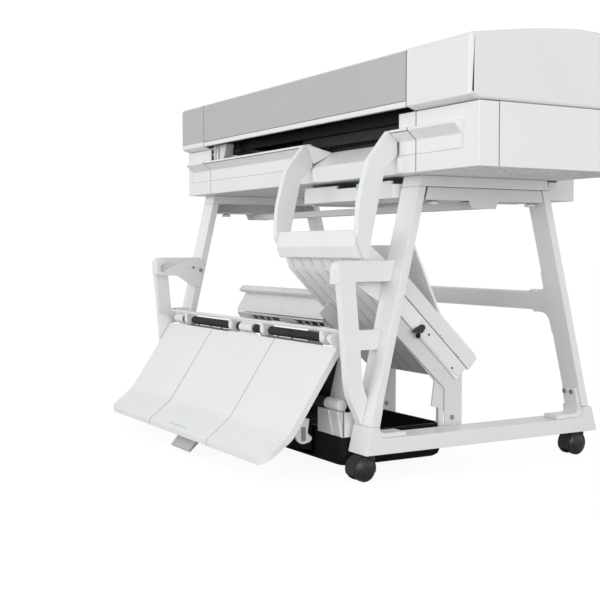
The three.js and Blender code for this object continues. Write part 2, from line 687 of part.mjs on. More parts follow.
const ROLLER = { y: -334, z: 305, radius: 11, shaft: 5 };
const SLEEVES = [[-410, -384], [-350, -92], [32, 84], [118, 378]];

function feedRoller() {
  const shaft = rodX(ROLLER.shaft, -432, 432, ROLLER.y, ROLLER.z, 14);
  const sleeves = SLEEVES.map(([x0, x1]) => rodX(ROLLER.radius, x0, x1, ROLLER.y, ROLLER.z, 20));
  return part("feed_roller", join(shaft, ...sleeves), DARK);
}

const TUBE = { y: -341, z: 158, radius: 8 };

// Front bar between the hook brackets, with the hangers that the feed roller turns in.
function rollerBar() {
  const end = INNER_X - GAP - 6 - GAP;
  const bar = block(-end, end, -366, -350, 327, 333);
  const hanger = [[-354, 328], [-354, 300], [-344, 290, 6], [-322, 290, 8], [-322, 318, 6], [-336, 328]];
  const places = [[-378, -356], [-86, 26], [90, 112], [384, 402]];
  const hangers = places.map(([x0, x1]) => alongX(hanger, x0, x1));
  const strut = [
    [-353, 331], [-353, 297], [-342, 293, 4], [-354, 142, 10], [-330, 142, 10], [-330, 331],
  ];
  const struts = [-1, 1].map((side) => alongX(strut, side * 440 - 4, side * 440 + 4));
  const bore = rodX(ROLLER.shaft + 0.4, -end, end, ROLLER.y, ROLLER.z, 14);
  const seat = rodX(TUBE.radius + 0.4, -end, end, TUBE.y, TUBE.z, 18);
  return part("roller_bar", cut(join(bar, ...hangers, ...struts), bore, seat), WHITE);
}

function lowerTube() {
  const half = 440 + 4;
  const cap = (side) => rodX(14, Math.min(side * (half + GAP), side * (half + 20)),
    Math.max(side * (half + GAP), side * (half + 20)), TUBE.y, TUBE.z, 18);
  const sleeve = rodX(13, -half + 9, half - 9, TUBE.y, TUBE.z, 18);
  return part("lower_tube", join(rodX(TUBE.radius, -half - 8, half + 8, TUBE.y, TUBE.z, 18), sleeve,
    cap(-1), cap(1)), DARK);
}

// One of the three tray panels: a straight slope that curves out into a flatter lip.
function trayPanel(name, x0, x1) {
  const section = [
    [-358, 291, 3], [-482, 105, 40], [-546, 54, 3], [-537, 42, 3], [-471, 94, 36], [-346, 282, 3],
  ];
  return part(name, alongX(section, x0, x1), WHITE);
}

// Grey release lever that hangs below the middle panel's lip.
function trayRelease() {
  const section = [[-506, 63], [-514, 57], [-552, 14], [-548, 10], [-502, 50, 3]];
  return part("tray_release", alongX(section, -20, 90), GREY);
}

const DUCT_FLOOR = 299;

// Sheet-metal frame: a cross member between the feet, posts, sloping arms under the chute, and a panel.
function supportFrame() {
  const [front, rear] = [-65, -14];
  const clear = CHUTE_DEPTH + GAP;
  const side = [
    [front, 72], [rear, 72], [rear, 219], chutePoint(17, clear), chutePoint(-165, clear),
    [-246, 351], [front, 181.5],
  ];
  const plates = [[CHUTE_LEFT + 54, CHUTE_LEFT + 58], [CHUTE_RIGHT - 10, CHUTE_RIGHT - 6]]
    .map(([x0, x1]) => alongX(side, x0, x1));
  const foot = LEG_PLANE - FOOT_WIDTH / 2 - GAP;
  const member = cut(block(-foot, foot, -62, 3, 60, 76), block(-foot - 1, foot + 1, -59, 0, 58, 73));
  const crossPanel = block(CHUTE_LEFT + 55, CHUTE_RIGHT - 7, rear - 4, rear, 213, 228);
  const post = block(-TRAY_HALF + 4, -TRAY_HALF + 26, -58, -28, 74, DUCT_FLOOR);
  const middle = block(-170, -148, -58, -28, 74, DUCT_FLOOR);
  return part("support_frame", join(member, ...plates, crossPanel, post, middle), STEEL_WHITE);
}

// Black moulded base with an open top and a rounded front.
function baseTub() {
  const half = TRAY_HALF + 4;
  const rim = [[-half, -349, 40], [half, -349, 40], [half, -68, 10], [-half, -68, 10]];
  const inner = [
    [-half + 5, -344, 36], [half - 5, -344, 36], [half - 5, -73, 6], [-half + 5, -73, 6],
  ];
  return part("base_tub", cut(upward(rim, 17, 100), upward(inner, 24, 110)), BLACK);
}

function latchLever() {
  const section = [[-170, 318, 4], [-140, 316, 4], [-130, 330, 6], [-140, 338, 6], [-166, 326, 3]];
  return part("latch_lever", alongX(section, CHUTE_RIGHT + GAP, CHUTE_RIGHT + 7), DARK);
}

function guideLoop() {
  return assembly(guideArm("guide_arm_left", ARM_LEFT), guideArm("guide_arm_right", ARM_RIGHT - ARM_THICK),
    guideCrossbar());
}

function stacker() {
  return assembly(
    guideLoop(), chute(), transportDuct(),
    curvedCover("curved_cover_left", -480, -214), curvedCover("curved_cover_right", -213, 34),
    feedRoller(), rollerBar(), lowerTube(),
    trayPanel("tray_panel_left", -TRAY_HALF, -TRAY_SEAM - 1),
    trayPanel("tray_panel_middle", -TRAY_SEAM, TRAY_SEAM - 1),
    trayPanel("tray_panel_right", TRAY_SEAM, TRAY_HALF),
    trayRelease(), supportFrame(), baseTub(), latchLever(),
  );
}

const plotter = assembly(stand(), printer(), stacker());
const bounds = new THREE.Box3().setFromObject(plotter);
plotter.position.set(-(bounds.min.x + bounds.max.x) / 2, -(bounds.min.y + bounds.max.y) / 2, -bounds.min.z);

export default assembly(plotter);
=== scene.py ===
"""Looks of the large format plotter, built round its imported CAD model.

Sizes are millimetres about the middle of the stand at floor level, as in the CAD: X runs along the
carriage, the front faces -Y and Z is up. Function at() turns such a point into the frame's metres.
"""
import json
import math

import bmesh
import bpy
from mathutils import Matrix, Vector


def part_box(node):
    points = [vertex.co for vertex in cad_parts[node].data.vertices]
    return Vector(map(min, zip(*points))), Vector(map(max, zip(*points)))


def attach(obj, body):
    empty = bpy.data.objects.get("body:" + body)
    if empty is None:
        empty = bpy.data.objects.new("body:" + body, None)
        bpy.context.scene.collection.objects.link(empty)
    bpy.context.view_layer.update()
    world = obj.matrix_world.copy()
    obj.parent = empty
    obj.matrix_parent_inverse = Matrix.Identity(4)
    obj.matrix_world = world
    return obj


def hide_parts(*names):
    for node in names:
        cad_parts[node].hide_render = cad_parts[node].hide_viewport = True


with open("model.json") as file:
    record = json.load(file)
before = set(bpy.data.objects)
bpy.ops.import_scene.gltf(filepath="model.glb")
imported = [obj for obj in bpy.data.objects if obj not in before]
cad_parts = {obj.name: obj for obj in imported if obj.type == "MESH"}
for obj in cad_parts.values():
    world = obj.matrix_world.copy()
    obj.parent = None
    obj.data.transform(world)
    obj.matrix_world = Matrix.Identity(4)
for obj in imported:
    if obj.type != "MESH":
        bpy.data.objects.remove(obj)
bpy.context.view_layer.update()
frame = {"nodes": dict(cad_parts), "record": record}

MM = 0.001
RAIL_LOW, RAIL_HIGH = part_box("foot_rail_left")[0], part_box("foot_rail_right")[1]
STAND = Vector(((RAIL_LOW.x + RAIL_HIGH.x) / 2, (RAIL_LOW.y + RAIL_HIGH.y) / 2, 0))
RECORD = frame["record"]
SLOT_OF = {row["node"]: row["material_slot"] for row in RECORD["subparts"]}
BODY_OF = {n: body for body, nodes in RECORD["behaviour"]["bodies"].items() for n in nodes}
CHASSIS = "chassis"
AXIS = 0.02  # radius that stands for the axis in a turned profile
LOOK = {}  # material of every look by name


def at(x, y, z):
    """A point of the frame from millimetres about the middle of the stand."""
    return STAND + Vector((x, y, z)) * MM


def span(node):
    """Lowest and highest corner of a CAD node, in millimetres about the middle of the stand."""
    low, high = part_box(node)
    return (low - STAND) / MM, (high - STAND) / MM


# ---------- materials ----------
class Nodes:
    """A short way to write a shader's node tree."""

    def __init__(self, owner, shader="Principled BSDF", place="Object"):
        self.material = owner
        owner.use_nodes = True
        self.tree = owner.node_tree
        self.shader = self.tree.nodes[shader]
        self.place = self.add("TexCoord").outputs[place]

    def add(self, kind, inputs=None, **settings):
        node = self.tree.nodes.new("ShaderNode" + kind)
        for key, value in settings.items():
            setattr(node, key, value)
        self.fill(node, inputs or {})
        return node

    def fill(self, node, inputs):
        """Links or sets sockets by name or number."""
        for key, value in inputs.items():
            if hasattr(value, "is_output"):
                self.tree.links.new(value, node.inputs[key])
            else:
                node.inputs[key].default_value = value

    def put(self, key, value):
        self.fill(self.shader, {key: value})

    def math(self, operation, *values):
        return self.add("Math", dict(enumerate(values)), operation=operation).outputs[0]

    def product(self, first, *others):
        for value in others:
            first = self.math("MULTIPLY", first, value)
        return first

    def between(self, value, low, high):
        return self.product(self.math("GREATER_THAN", value, low), self.math("LESS_THAN", value, high))

    def near(self, value, middle, reach):
        """A mask that is 1 within a reach in millimetres of a place in metres."""
        return self.math("LESS_THAN", self.math("ABSOLUTE", self.math("SUBTRACT", value, middle)),
                         reach * MM)

    def base(self):
        return self.shader.inputs["Base Color"].links[0].from_socket

    def noise(self, scale, detail=3.0, stretch=(1, 1, 1)):
        place = self.add("Mapping", {"Vector": self.place, "Scale": stretch}).outputs[0]
        inputs = {"Vector": place, "Scale": scale, "Detail": detail}
        return self.add("TexNoise", inputs).outputs["Fac"]

    def ramp(self, value, low, high, to_low, to_high):
        inputs = {"Value": value, "From Min": low, "From Max": high, "To Min": to_low, "To Max": to_high}
        return self.add("MapRange", inputs).outputs[0]

    def mix(self, factor, a, b):
        return self.add("Mix", {"Factor": factor, 6: a, 7: b}, data_type="RGBA").outputs[2]

    def axes(self):
        return self.add("SeparateXYZ", {0: self.place}).outputs

    def lines(self, value, period):
        """A wave from 0 to 1 along a coordinate in metres."""
        phase = self.product(value, 2 * math.pi / (period * MM))
        return self.math("MULTIPLY_ADD", self.math("SINE", phase), 0.5, 0.5)

    def bump(self, height, depth, strength=1.0):
        node = self.add("Bump", {"Strength": strength, "Distance": depth * MM, "Height": height})
        if self.shader.inputs["Normal"].is_linked:
            self.fill(node, {"Normal": self.shader.inputs["Normal"].links[0].from_socket})
        self.put("Normal", node.outputs[0])


def shade(colour, factor):
    return tuple(c * factor for c in colour) + (1.0,)


def surface(name, colour, rough, grain=0.12, grain_size=0.9, metal=0.0, soil=0.07, wear=0.0,
            wear_colour=None, specular=0.5, coat=0.0, stretch=(1, 1, 1)):
    """Moulded or painted surface: fine grain, uneven gloss, dirt specks, painted shade in corners and
    creases, and worn edges.
    """
    LOOK[name] = bpy.data.materials.new(name)
    n = Nodes(LOOK[name])
    base = n.mix(n.ramp(n.noise(5.0), 0.35, 0.65, 0.0, 1.0), shade(colour, 0.975), shade(colour, 1))
    base = n.mix(n.ramp(n.noise(420.0, 2.0), 0.60, 0.74, 0.0, 0.25 * soil), base, shade(colour, 0.6))
    # painted shade: the colour darkens where ambient occlusion finds corners and creases
    corner = n.add("AmbientOcclusion", {"Distance": 14 * MM}, samples=4)
    base = n.mix(n.ramp(corner.outputs["AO"], 0.15, 0.75, 2.2 * soil, 0.0), base, shade(colour, 0.42))
    if wear:
        soft = n.add("Bevel", {"Radius": 1.2 * MM}, samples=4).outputs[0]
        flat = n.add("NewGeometry").outputs["True Normal"]
        turn = n.add("VectorMath", {0: soft, 1: flat}, operation="DOT_PRODUCT")
        edge = n.ramp(turn.outputs["Value"], 0.80, 0.97, 1.0, 0.0)
        worn = n.product(edge, n.ramp(n.noise(60.0), 0.45, 0.62, 0.0, wear))
        base = n.mix(worn, base, shade(wear_colour, 1))
    n.put("Base Color", base)
    n.put("Roughness",
          n.ramp(n.noise(28.0, 4.0, stretch), 0.3, 0.7, max(rough - 0.07, 0.04), min(rough + 0.07, 1.0)))
    n.put("Metallic", metal)
    n.put("Specular IOR Level", specular)
    n.put("Coat Weight", coat)
    n.bump(n.noise(1.0 / (grain_size * MM), 2.0, stretch), 0.12, grain)
    return n


def finish(*settings, **more):
    """The material of such a surface."""
    return surface(*settings, **more).material


WHITE = (0.85, 0.86, 0.855)
PALE = (0.82, 0.83, 0.825)
BLUE = (0.36, 0.62, 0.86)
LINE_DEPTH = 0.16
HATCH_PERIOD = 8.0
TRAY_RIB = 6.5
POCKET_LOW, POCKET_HIGH = 714.5, 766
LEDGE_LEFT, LEDGE_RIGHT, LEDGE_TOP = -544, 772, 773.5


def front_skin():
    """White shell of the front: hatched outside the smooth pocket, with the pocket's outline."""
    n = surface("front_shell", WHITE, 0.42)
    x, _, z = n.axes()
    low = at(0, 0, POCKET_LOW).z
    left, right = at(LEDGE_LEFT, 0, 0).x, at(LEDGE_RIGHT, 0, 0).x
    reach = n.between(x, left, right)
    pocket = n.product(reach, n.between(z, low, at(0, 0, LEDGE_TOP + 1).z))
    facing = n.add("SeparateXYZ", {0: n.add("TexCoord").outputs["Normal"]})
    front = n.math("LESS_THAN", facing.outputs[1], -0.9)
    hatch = n.ramp(n.lines(n.math("SUBTRACT", x, z), HATCH_PERIOD * math.sqrt(2)), 0.25, 0.75, 0.0, 1.0)
    hatch = n.product(hatch, front, n.math("SUBTRACT", 1.0, pocket))
    sides = n.math("MAXIMUM", n.near(x, left, 0.9), n.near(x, right, 0.9))
    sides = n.product(sides, n.between(z, low, at(0, 0, POCKET_HIGH).z))
    line = n.product(front, n.math("MAXIMUM", n.product(n.near(z, low, 0.8), reach), sides))
    base = n.mix(n.product(hatch, 0.30), n.base(), shade(WHITE, 0.86))
    n.put("Base Color", n.mix(n.product(line, 0.55), base, shade(WHITE, 0.35)))
    n.bump(hatch, LINE_DEPTH)
    return n.material


def tray_skin():
    """Shell with very fine ribs side by side."""
    n = surface("ribbed_shell", WHITE, 0.45)
    wave = n.lines(n.axes()[0], TRAY_RIB)
    n.put("Base Color", n.mix(n.product(wave, 0.22), n.base(), shade(WHITE, 0.8)))
    n.bump(wave, LINE_DEPTH)
    return n.material


SHELL = finish("white_shell", WHITE, 0.42)
SOFT = finish("soft_white_shell", PALE, 0.38)
FRONT = front_skin()
TRAY = tray_skin()
GREY = finish("grey_panel", (0.49, 0.485, 0.475), 0.5, grain=0.2)
PAINT = finish("stand_paint", WHITE, 0.36, grain=0.22, grain_size=0.7, wear=0.25,
               wear_colour=(0.6, 0.61, 0.62))
SHEET = finish("sheet_steel_white", (0.74, 0.75, 0.745), 0.34, grain=0.16, grain_size=0.6, wear=0.3,
               wear_colour=(0.5, 0.51, 0.52))
DARK = finish("dark_plastic", (0.028, 0.028, 0.030), 0.42, grain=0.3, soil=0.02, wear=0.3,
              wear_colour=(0.11, 0.11, 0.115))
BLACK = finish("black_plastic", (0.0035, 0.0035, 0.0038), 0.5, grain=0.4, grain_size=1.4, soil=0.0,
               specular=0.25)
RUBBER = finish("roller_rubber", (0.026, 0.026, 0.028), 0.72, grain=0.6, grain_size=0.5, soil=0.05,
                specular=0.3)
TREAD = finish("caster_tread", (0.018, 0.018, 0.019), 0.30, grain=0.12, soil=0.02, wear=0.5,
               wear_colour=(0.16, 0.16, 0.165))
STEEL = finish("bare_steel", (0.60, 0.61, 0.63), 0.28, grain=0.3, metal=1.0, soil=0.04,
               stretch=(0.05, 1, 1))
PAPER = finish("paper", (0.86, 0.85, 0.82), 0.92, grain=0.35, grain_size=0.4, soil=0.04,
               specular=0.15)
LATCH_BLUE = finish("latch_blue", BLUE, 0.4, soil=0.05)
SCREW = finish("screw_zinc", (0.36, 0.36, 0.37), 0.35, metal=1.0, soil=0.05)
# painted shade: a grey for thin lines beside ribs and for slots, where shade falls
SHADOW_GROOVE = finish("shadow_groove", (0.30, 0.30, 0.30), 0.7, soil=0.0, specular=0.2)
SMOKE = finish("smoked_plastic", (0.16, 0.16, 0.16), 0.35, soil=0.0)
# painted light: a lighter copy of the white shell, for parts that lie in shade
PAINTED_LIGHT_WHITE = finish("bright_shell", (0.95, 0.95, 0.95), 0.5, soil=0.0)
# painted shade: dark strips set in gaps and under lips where shade falls
JOINT_SHADE = finish("joint_gasket", (0.06, 0.06, 0.06), 0.7, soil=0.0, specular=0.2)
SLOT_PLATE = finish("slot_plate", (0.05, 0.048, 0.044), 0.5, grain=0.2, soil=0.0)
GLASS = finish("display_glass", (0.006, 0.007, 0.009), 0.09, grain=0.01, soil=0.0, coat=1.0)
INKS = [finish(f"ink_label_{name}", colour, 0.35, soil=0.04) for name, colour in (
    ("cyan", (0.02, 0.35, 0.62)), ("magenta", (0.60, 0.03, 0.22)),
    ("yellow", (0.80, 0.62, 0.03)), ("black", (0.02, 0.02, 0.022)))]

NAME_OF = {look: name for name, look in LOOK.items()}
EXTRA_SLOT = {"display_glass": "black_plastic", "joint_gasket": "black_plastic", "screw_zinc": "bare_steel",
              "shadow_groove": "white_shell", "bright_shell": "white_shell", "latch_blue": "white_shell"}


# ---------- mesh work ----------
def rounded(corners, steps=6):
    """Points of an outline from corners (u, v) or (u, v, radius)."""
    points = []
    for i, corner in enumerate(corners):
        here = Vector(corner[:2])
        if len(corner) < 3:
            points.append(here)
            continue
        before = Vector(corners[i - 1][:2])
        after = Vector(corners[(i + 1) % len(corners)][:2])
        start = here + (before - here).normalized() * corner[2]
        end = here + (after - here).normalized() * corner[2]
        for k in range(steps + 1):
            t = k / steps
            points.append(start * (1 - t) ** 2 + here * 2 * t * (1 - t) + end * t * t)
    return points


def spot(axis, point, along):
    u, v = point
    return at(*{"X": (along, u, v), "Y": (u, along, v), "Z": (u, v, along)}[axis])


def made(name, bm):
    bmesh.ops.recalc_face_normals(bm, faces=bm.faces)
    mesh = bpy.data.meshes.new(name)
    bm.to_mesh(mesh)
    bm.free()
    piece = bpy.data.objects.new(name, mesh)
    bpy.context.scene.collection.objects.link(piece)
    return piece


def loft(name, rows, caps=True, strips=False):
    """A closed solid through outlines of equal length; an end that isn't flat is capped in strips."""
    bm = bmesh.new()
    rings = [[bm.verts.new(p) for p in row] for row in rows]
    for one, two in zip(rings, rings[1:] if caps else rings[1:] + rings[:1]):
        for i in range(len(one)):
            bm.faces.new((one[i - 1], one[i], two[i], two[i - 1]))
    for ring in (rings[0], rings[-1]) if caps else ():
        if strips:
            for j in range(len(ring) // 2 - 1):
                bm.faces.new((ring[j], ring[j + 1], ring[-2 - j], ring[-1 - j]))
        else:
            bm.faces.new(ring)
    return made(name, bm)


def prism(name, corners, axis, low, high, steps=6):
    points = rounded(corners, steps)
    return loft(name, [[spot(axis, p, end) for p in points] for end in (low, high)])


def block(name, low, high, radius=0.0):
    """A block between two corners; a radius rounds its upright edges."""
    corners = [(low[0], low[1]), (high[0], low[1]), (high[0], high[1]), (low[0], high[1])]
    if radius:
        corners = [c + (radius,) for c in corners]
    return prism(name, corners, "Z", low[2], high[2])


def circle(axis, centre, radius, height, sides):
    """Points of a circle square to an axis through a centre."""
    turns = [2 * math.pi * k / sides for k in range(sides)]
    shift = Vector(centre) * MM
    return [spot(axis, (radius * math.cos(t), radius * math.sin(t)), height) + shift for t in turns]


def plug(radius, low, high):
    """The profile of a plain cylinder for lathe."""
    return [(AXIS, low), (radius, low), (radius, high), (AXIS, high)]


def spool(core, radius, low, high, step=1.0, slant=1.0):
    """The profile of a cylinder from its bore outwards, with slanted rims."""
    return [(core, low), (radius - step, low), (radius, low + slant), (radius, high - slant),
            (radius - step, high), (core, high)]


def lathe(name, profile, centre, axis="X", sides=64):
    """A closed turned solid; the profile has (radius, height) points and ends at the axis."""
    return loft(name, [circle(axis, centre, radius, height, sides) for radius, height in profile])


def tub(name, outer, inner, z0, z1, floor):
    """An open box with rounded corners."""
    return loft(name, [[spot("Z", p, height) for p in rounded(corners, 8)] for corners, height in (
        (outer, z0), (outer, z1), (inner, z1), (inner, floor))])


def join(name, *pieces):
    """One mesh from several."""
    bm = bmesh.new()
    for piece in pieces:
        bm.from_mesh(piece.data)
        bpy.data.meshes.remove(piece.data)
    return made(name, bm)


def dress(piece, look, edge=1.0, segments=3, body=CHASSIS, slot=None, angle=32, node=None):
    """Rounds a piece's edges, gives it its look and hangs it on its body, or in place of a CAD node."""
    piece.data.materials.clear()
    piece.data.materials.append(look)
    piece.data.polygons.foreach_set("use_smooth", [True] * len(piece.data.polygons))
    if edge:
        bevel = piece.modifiers.new("rounded_edges", "BEVEL")
        bevel.width = edge * MM
        bevel.segments = segments
        bevel.limit_method = "ANGLE"
        bevel.angle_limit = math.radians(angle)
        bevel.harden_normals = False
    even = piece.modifiers.new("even_shading", "WEIGHTED_NORMAL")
    even.keep_sharp = True
    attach(piece, BODY_OF[node] if node else body)
    own = NAME_OF[look]
    if own not in SLOT_OF.values():
        own = EXTRA_SLOT.get(own, "dark_plastic")
    slot or (SLOT_OF[node] if node else own)
    if node:
        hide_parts(node)
    return piece


def skin(node, edge=1.0, segments=3, look=None, angle=32):
    """A CAD node's own shape with its flat faces merged and its edges rounded."""
    bm = bmesh.new()
    bm.from_mesh(frame["nodes"][node].data)
    bmesh.ops.remove_doubles(bm, verts=bm.verts, dist=1e-6)
    bmesh.ops.dissolve_limit(bm, angle_limit=math.radians(0.8), verts=bm.verts, edges=bm.edges)
    piece = made(f"{node}_shell", bm)
    for layer in [a.name for a in piece.data.attributes if a.name in ("custom_normal", "UVMap")]:
        piece.data.attributes.remove(piece.data.attributes[layer])
    return dress(piece, look or LOOK[SLOT_OF[node]], edge, segments, angle=angle, node=node)


def bolt(name, centre, axis, radius, height):
    """A round bolt head on a washer, with a round socket."""
    sign = 1 if axis[0] == "+" else -1
    washer = lathe(f"{name}_washer", plug(radius * 1.35, 0, sign * 0.9), centre, axis[1], 28)
    profile = [(AXIS, 0.9), (radius, 0.9), (radius, height * 0.7), (radius * 0.8, height),
               (radius * 0.5, height), (radius * 0.48, height * 0.5), (AXIS, height * 0.5)]
    head = lathe(f"{name}_head", [(r, sign * h) for r, h in profile], centre, axis[1], 28)
    dress(join(name, washer, head), SCREW, 0.25, 2)


# ---------- stand ----------
LEG_PLANE = 530
LEG_INNER = 497
LEG_THICK = 21
FOOT_LOW, FOOT_TOP, RAIL_TOP = 60, 121, 95
LEGS = {-1: (345, 0.2383), 1: (335.4, 0.2622)}
SIDES = (("right", 1), ("left", -1))
ENDS = (("front", -1), ("rear", 1))
HANGER = {-1: (-143, -183, -62), 1: (150, 29, 162)}
KNOB = [(AXIS, 611.5), (12, 611.5), (13.5, 613), (13.5, 617.5), (9, 618.5), (9, 621), (AXIS, 621)]


def leg_face(z, end):
    """How far the outer face of a front (-1) or rear (1) leg stands from the middle at a height."""
    reach, lean = LEGS[end]
    return reach - lean * (z - FOOT_LOW)


def corner_bracket(name, side, end):
    """A thick moulded bracket in the corner between a foot and its leg, held by two bolts."""
    top, low, thick, reach = 168, RAIL_TOP + 0.5, 9, 84

    def face(z, off=0.8):
        return end * (leg_face(z, end) - LEG_THICK - off)

    toe = face(low) - end * reach
    outline = [(toe, low), (face(low), low), (face(FOOT_TOP), FOOT_TOP), (face(top), top, 2),
               (face(top, thick - 2), top, 3), (face(140, thick), 140, 20),
               (face(low + thick, thick), low + thick, 20), (toe, low + thick, 3)]
    x0, x1 = sorted((side * (LEG_PLANE - 19), side * (LEG_PLANE + 25)))
    dress(prism(name, outline, "X", x0, x1, 8), PAINT, 1.4)
    for k, x in enumerate((518, 541)):
        bolt(f"{name}_bolt_{k}", (side * x, face(157, thick), 157), "-Y" if end > 0 else "+Y", 4.2, 3)


def stand():
    for side, sign in SIDES:
        skin(f"foot_rail_{side}", 2.2)
        skin(f"side_beam_{side}", 1.6)
        skin(f"hook_bracket_{side}", 1.8)
        for place, end in ENDS:
            skin(f"{place}_leg_{side}", 2.0)
            corner_bracket(f"corner_bracket_{place}_{side}", sign, end)
            caster(f"{place}_{side}", sign, end)
            y, y0, y1 = HANGER[end]
            knob = lathe(f"hanger_knob_{place}_{side}", KNOB, (sign * LEG_PLANE, y, 0), "Z", 40)
            dress(knob, SHELL, 0)
            x0, x1 = sorted((sign * 502, sign * 556))
            flange = block(f"hanger_flange_{place}_{side}", (x0, y0, 620.6), (x1, y1, 624), 2)
            dress(flange, SHEET, 0.6, 2)
        cheek = sign * (LEG_INNER - 6.4)
        for k, (y, z, radius) in enumerate(((-274, 455, 3.2), (-249, 446, 4.6))):
            bolt(f"hook_screw_{side}_{k}", (cheek, y, z), "-X" if sign > 0 else "+X", radius, 2.6)
    skin("top_crossbeam", 1.2)
    skin("rear_brace", 1.6, 4)


# ---------- casters ----------
WHEEL_R = 27.5
TRAIL = 20
STEM_Y = 315


def caster(place, side, end):
    """Hooded twin-wheel caster: each wheel has a dished disc inside a rim."""
    x, y = side * LEG_PLANE, end * STEM_Y
    hub = (x, y - TRAIL, WHEEL_R)
    r = WHEEL_R
    profile = [(AXIS, -24.6), (7, -24.4), (14, -23.4), (20, -21.4), (23.6, -19.4), (24.2, -18.9),
               (24.8, -20.2), (r - 1.0, -19.9), (r, -18.2), (r, -10.4), (r - 1.4, -9), (4, -9)]
    mirror = [(a, -h) for a, h in reversed(profile)]
    wheels = lathe(f"caster_wheel_pair_{place}", profile + mirror, hub, "X", 72)
    dress(wheels, TREAD, 0, node=f"caster_wheels_{place}")
    parts = [fork(f"caster_fork_{place}", hub), hood(f"caster_hood_{place}", hub)]
    stem = [(AXIS, 52.5), (13, 52.5), (13, 57.5), (11, 59.4), (AXIS, 59.4)]
    parts.append(lathe(f"caster_stem_{place}", stem, (x, y, 0), "Z", 40))
    dress(join(f"caster_body_{place}", *parts), DARK, 0.5, 2, node=f"caster_housing_{place}")


def fork(name, hub):
    """The web between the two wheels."""
    x, y, z = hub
    web = [(y - 19, z - 10, 6), (y + 20, z - 12, 6), (y + 34, z + 12, 8), (y + 34, z + 26, 3),
           (y + 6, z + 27, 3), (y - 19, z + 16, 14)]
    return prism(name, web, "X", x - 7.2, x + 7.2)


def hood(name, hub):
    """The cover over the wheels: an arc in section, as wide as both wheels."""
    x, y, z = hub
    start, end = math.radians(-18), math.radians(205)
    steps = 30
    inner, outer = WHEEL_R + 0.9, WHEEL_R + 2.6
    rows = []
    for k in range(steps + 1):
        turn = start + (end - start) * k / steps
        u, v = math.cos(turn), math.sin(turn)
        flare = 18.5 - 3.0 * abs(k / steps - 0.5)
        rows.append([at(x + dx, y + radius * u, min(z + radius * v, 59.2)) for dx, radius in (
            (-flare, inner), (flare, inner), (flare, outer), (-flare, outer))])
    return loft(name, rows)


# ---------- printer ----------
ROLL_CORE = 26
BODY_LEFT, BODY_RIGHT = -577, 823
BODY_LOW, SEAM_Z, BODY_TOP, BODY_REAR = 675, 806.6, 972, 218
FACE_Y, BROW_Y = -249.5, -273
PANEL_LEFT, PANEL_RIGHT = -417, 611.5
LID_REAR = 20
GRIP_Y = LID_REAR + 8
END_ROUND, END_WALL = 9, 5
UPPER = [(FACE_Y, SEAM_Z + 0.4), (BROW_Y, 815, 2), (BROW_Y, 931, 4), (BROW_Y + 6, 938, 3), (-100, 962, 60),
         (LID_REAR, BODY_TOP - 0.4, 20), (120, BODY_TOP - 2, 60), (BODY_REAR - 0.2, 915, 50),
         (BODY_REAR - 0.2, SEAM_Z + 0.4)]


def inset(points, amount):
    """An outline moved inwards square to itself."""
    moved = []
    for i, here in enumerate(points):
        before, after = points[i - 1], points[(i + 1) % len(points)]
        one, two = (here - before).normalized(), (after - here).normalized()
        way = one + two
        if way.length < 1e-6:
            way = one
        way.normalize()
        square = Vector((way.y, -way.x))
        slope = max(0.35, square.dot(Vector((one.y, -one.x))))
        moved.append(here + square * (amount / slope))
    return moved


def upper_end(node, x_open, x_shut):
    """End of the upper housing: a shell that is open towards the lid, with a rounded closed end."""
    sign = 1 if x_shut > x_open else -1
    rows = [(x_shut - sign * END_ROUND, END_WALL), (x_open, END_WALL), (x_open, 0)]
    steps = 6
    for k in range(steps + 1):
        turn = math.pi / 2 * k / steps
        rows.append((x_shut - sign * END_ROUND * (1 - math.sin(turn)), END_ROUND * (1 - math.cos(turn))))
    outer = rounded(UPPER, 10)
    shell = loft(f"{node}_shell", [[at(x, p.x, p.y) for p in inset(outer, depth)] for x, depth in rows])
    dress(shell, SOFT, 0.6, 2, node=node)


def grey_front(name, x0, x1, body):
    """Grey facing on the brow, let in above a white edge strip."""
    front = BROW_Y - 0.35
    outline = [(front, 827.2, 1.5), (front, 930, 4), (front + 3, 934.5, 2), (front + 3, 827.2)]
    dress(prism(name, outline, "X", x0, x1), GREY, 0.5, 2, body=body)


def lid():
    low, high = span("lid")
    thick = 3.2
    front = [(BROW_Y, 814.5, 2), (BROW_Y, 930, 4), (BROW_Y + 6, 937.4, 3), (-100, 961.4, 60),
             (LID_REAR, 970.4, 2), (LID_REAR, 970.4 - thick), (-100, 961.4 - thick, 60), (BROW_Y + 8, 934),
             (BROW_Y + thick, 929), (BROW_Y + thick, 818), (BROW_Y + 9, 818), (BROW_Y + 9, 814.5)]
    shell = prism("lid_shell", front, "X", low.x + 0.5, high.x - 0.5, 10)
    dress(shell, SHELL, 0.8, 2, slot="white_shell", node="lid")
    grey_front("lid_grey_front", low.x + 0.5, high.x - 0.5, "lid")


def roll_cover():
    low, high = span("roll_cover")
    thick = 3.2
    front = LID_REAR + 2
    outline = [(front, BODY_TOP - 0.8, 2), (120, BODY_TOP - 2.4, 60), (BODY_REAR - 0.4, 914.6, 50),
               (BODY_REAR - 0.4, SEAM_Z + 1.4), (BODY_REAR - thick, SEAM_Z + 1.4),
               (BODY_REAR - thick, 912, 47), (119, BODY_TOP - 2.4 - thick, 57),
               (front, BODY_TOP - 0.8 - thick)]
    dress(prism("roll_cover_shell", outline, "X", low.x + 0.5, high.x - 0.5, 12), SOFT, 0.8, 2,
          node="roll_cover")
    ribs = []
    for k in range(9):
        x = (low.x + high.x) / 2 - 36 + 9 * k
        ribs.append(prism(f"grip_rib_{k}", [(GRIP_Y, BODY_TOP - 1.2), (GRIP_Y + 16, BODY_TOP - 1.5),
                                            (GRIP_Y + 16, BODY_TOP - 0.5), (GRIP_Y, BODY_TOP - 0.2)],
                          "X", x, x + 4))
    dress(join("roll_cover_grip", *ribs), SOFT, 0.3, 2, body="roll_cover")


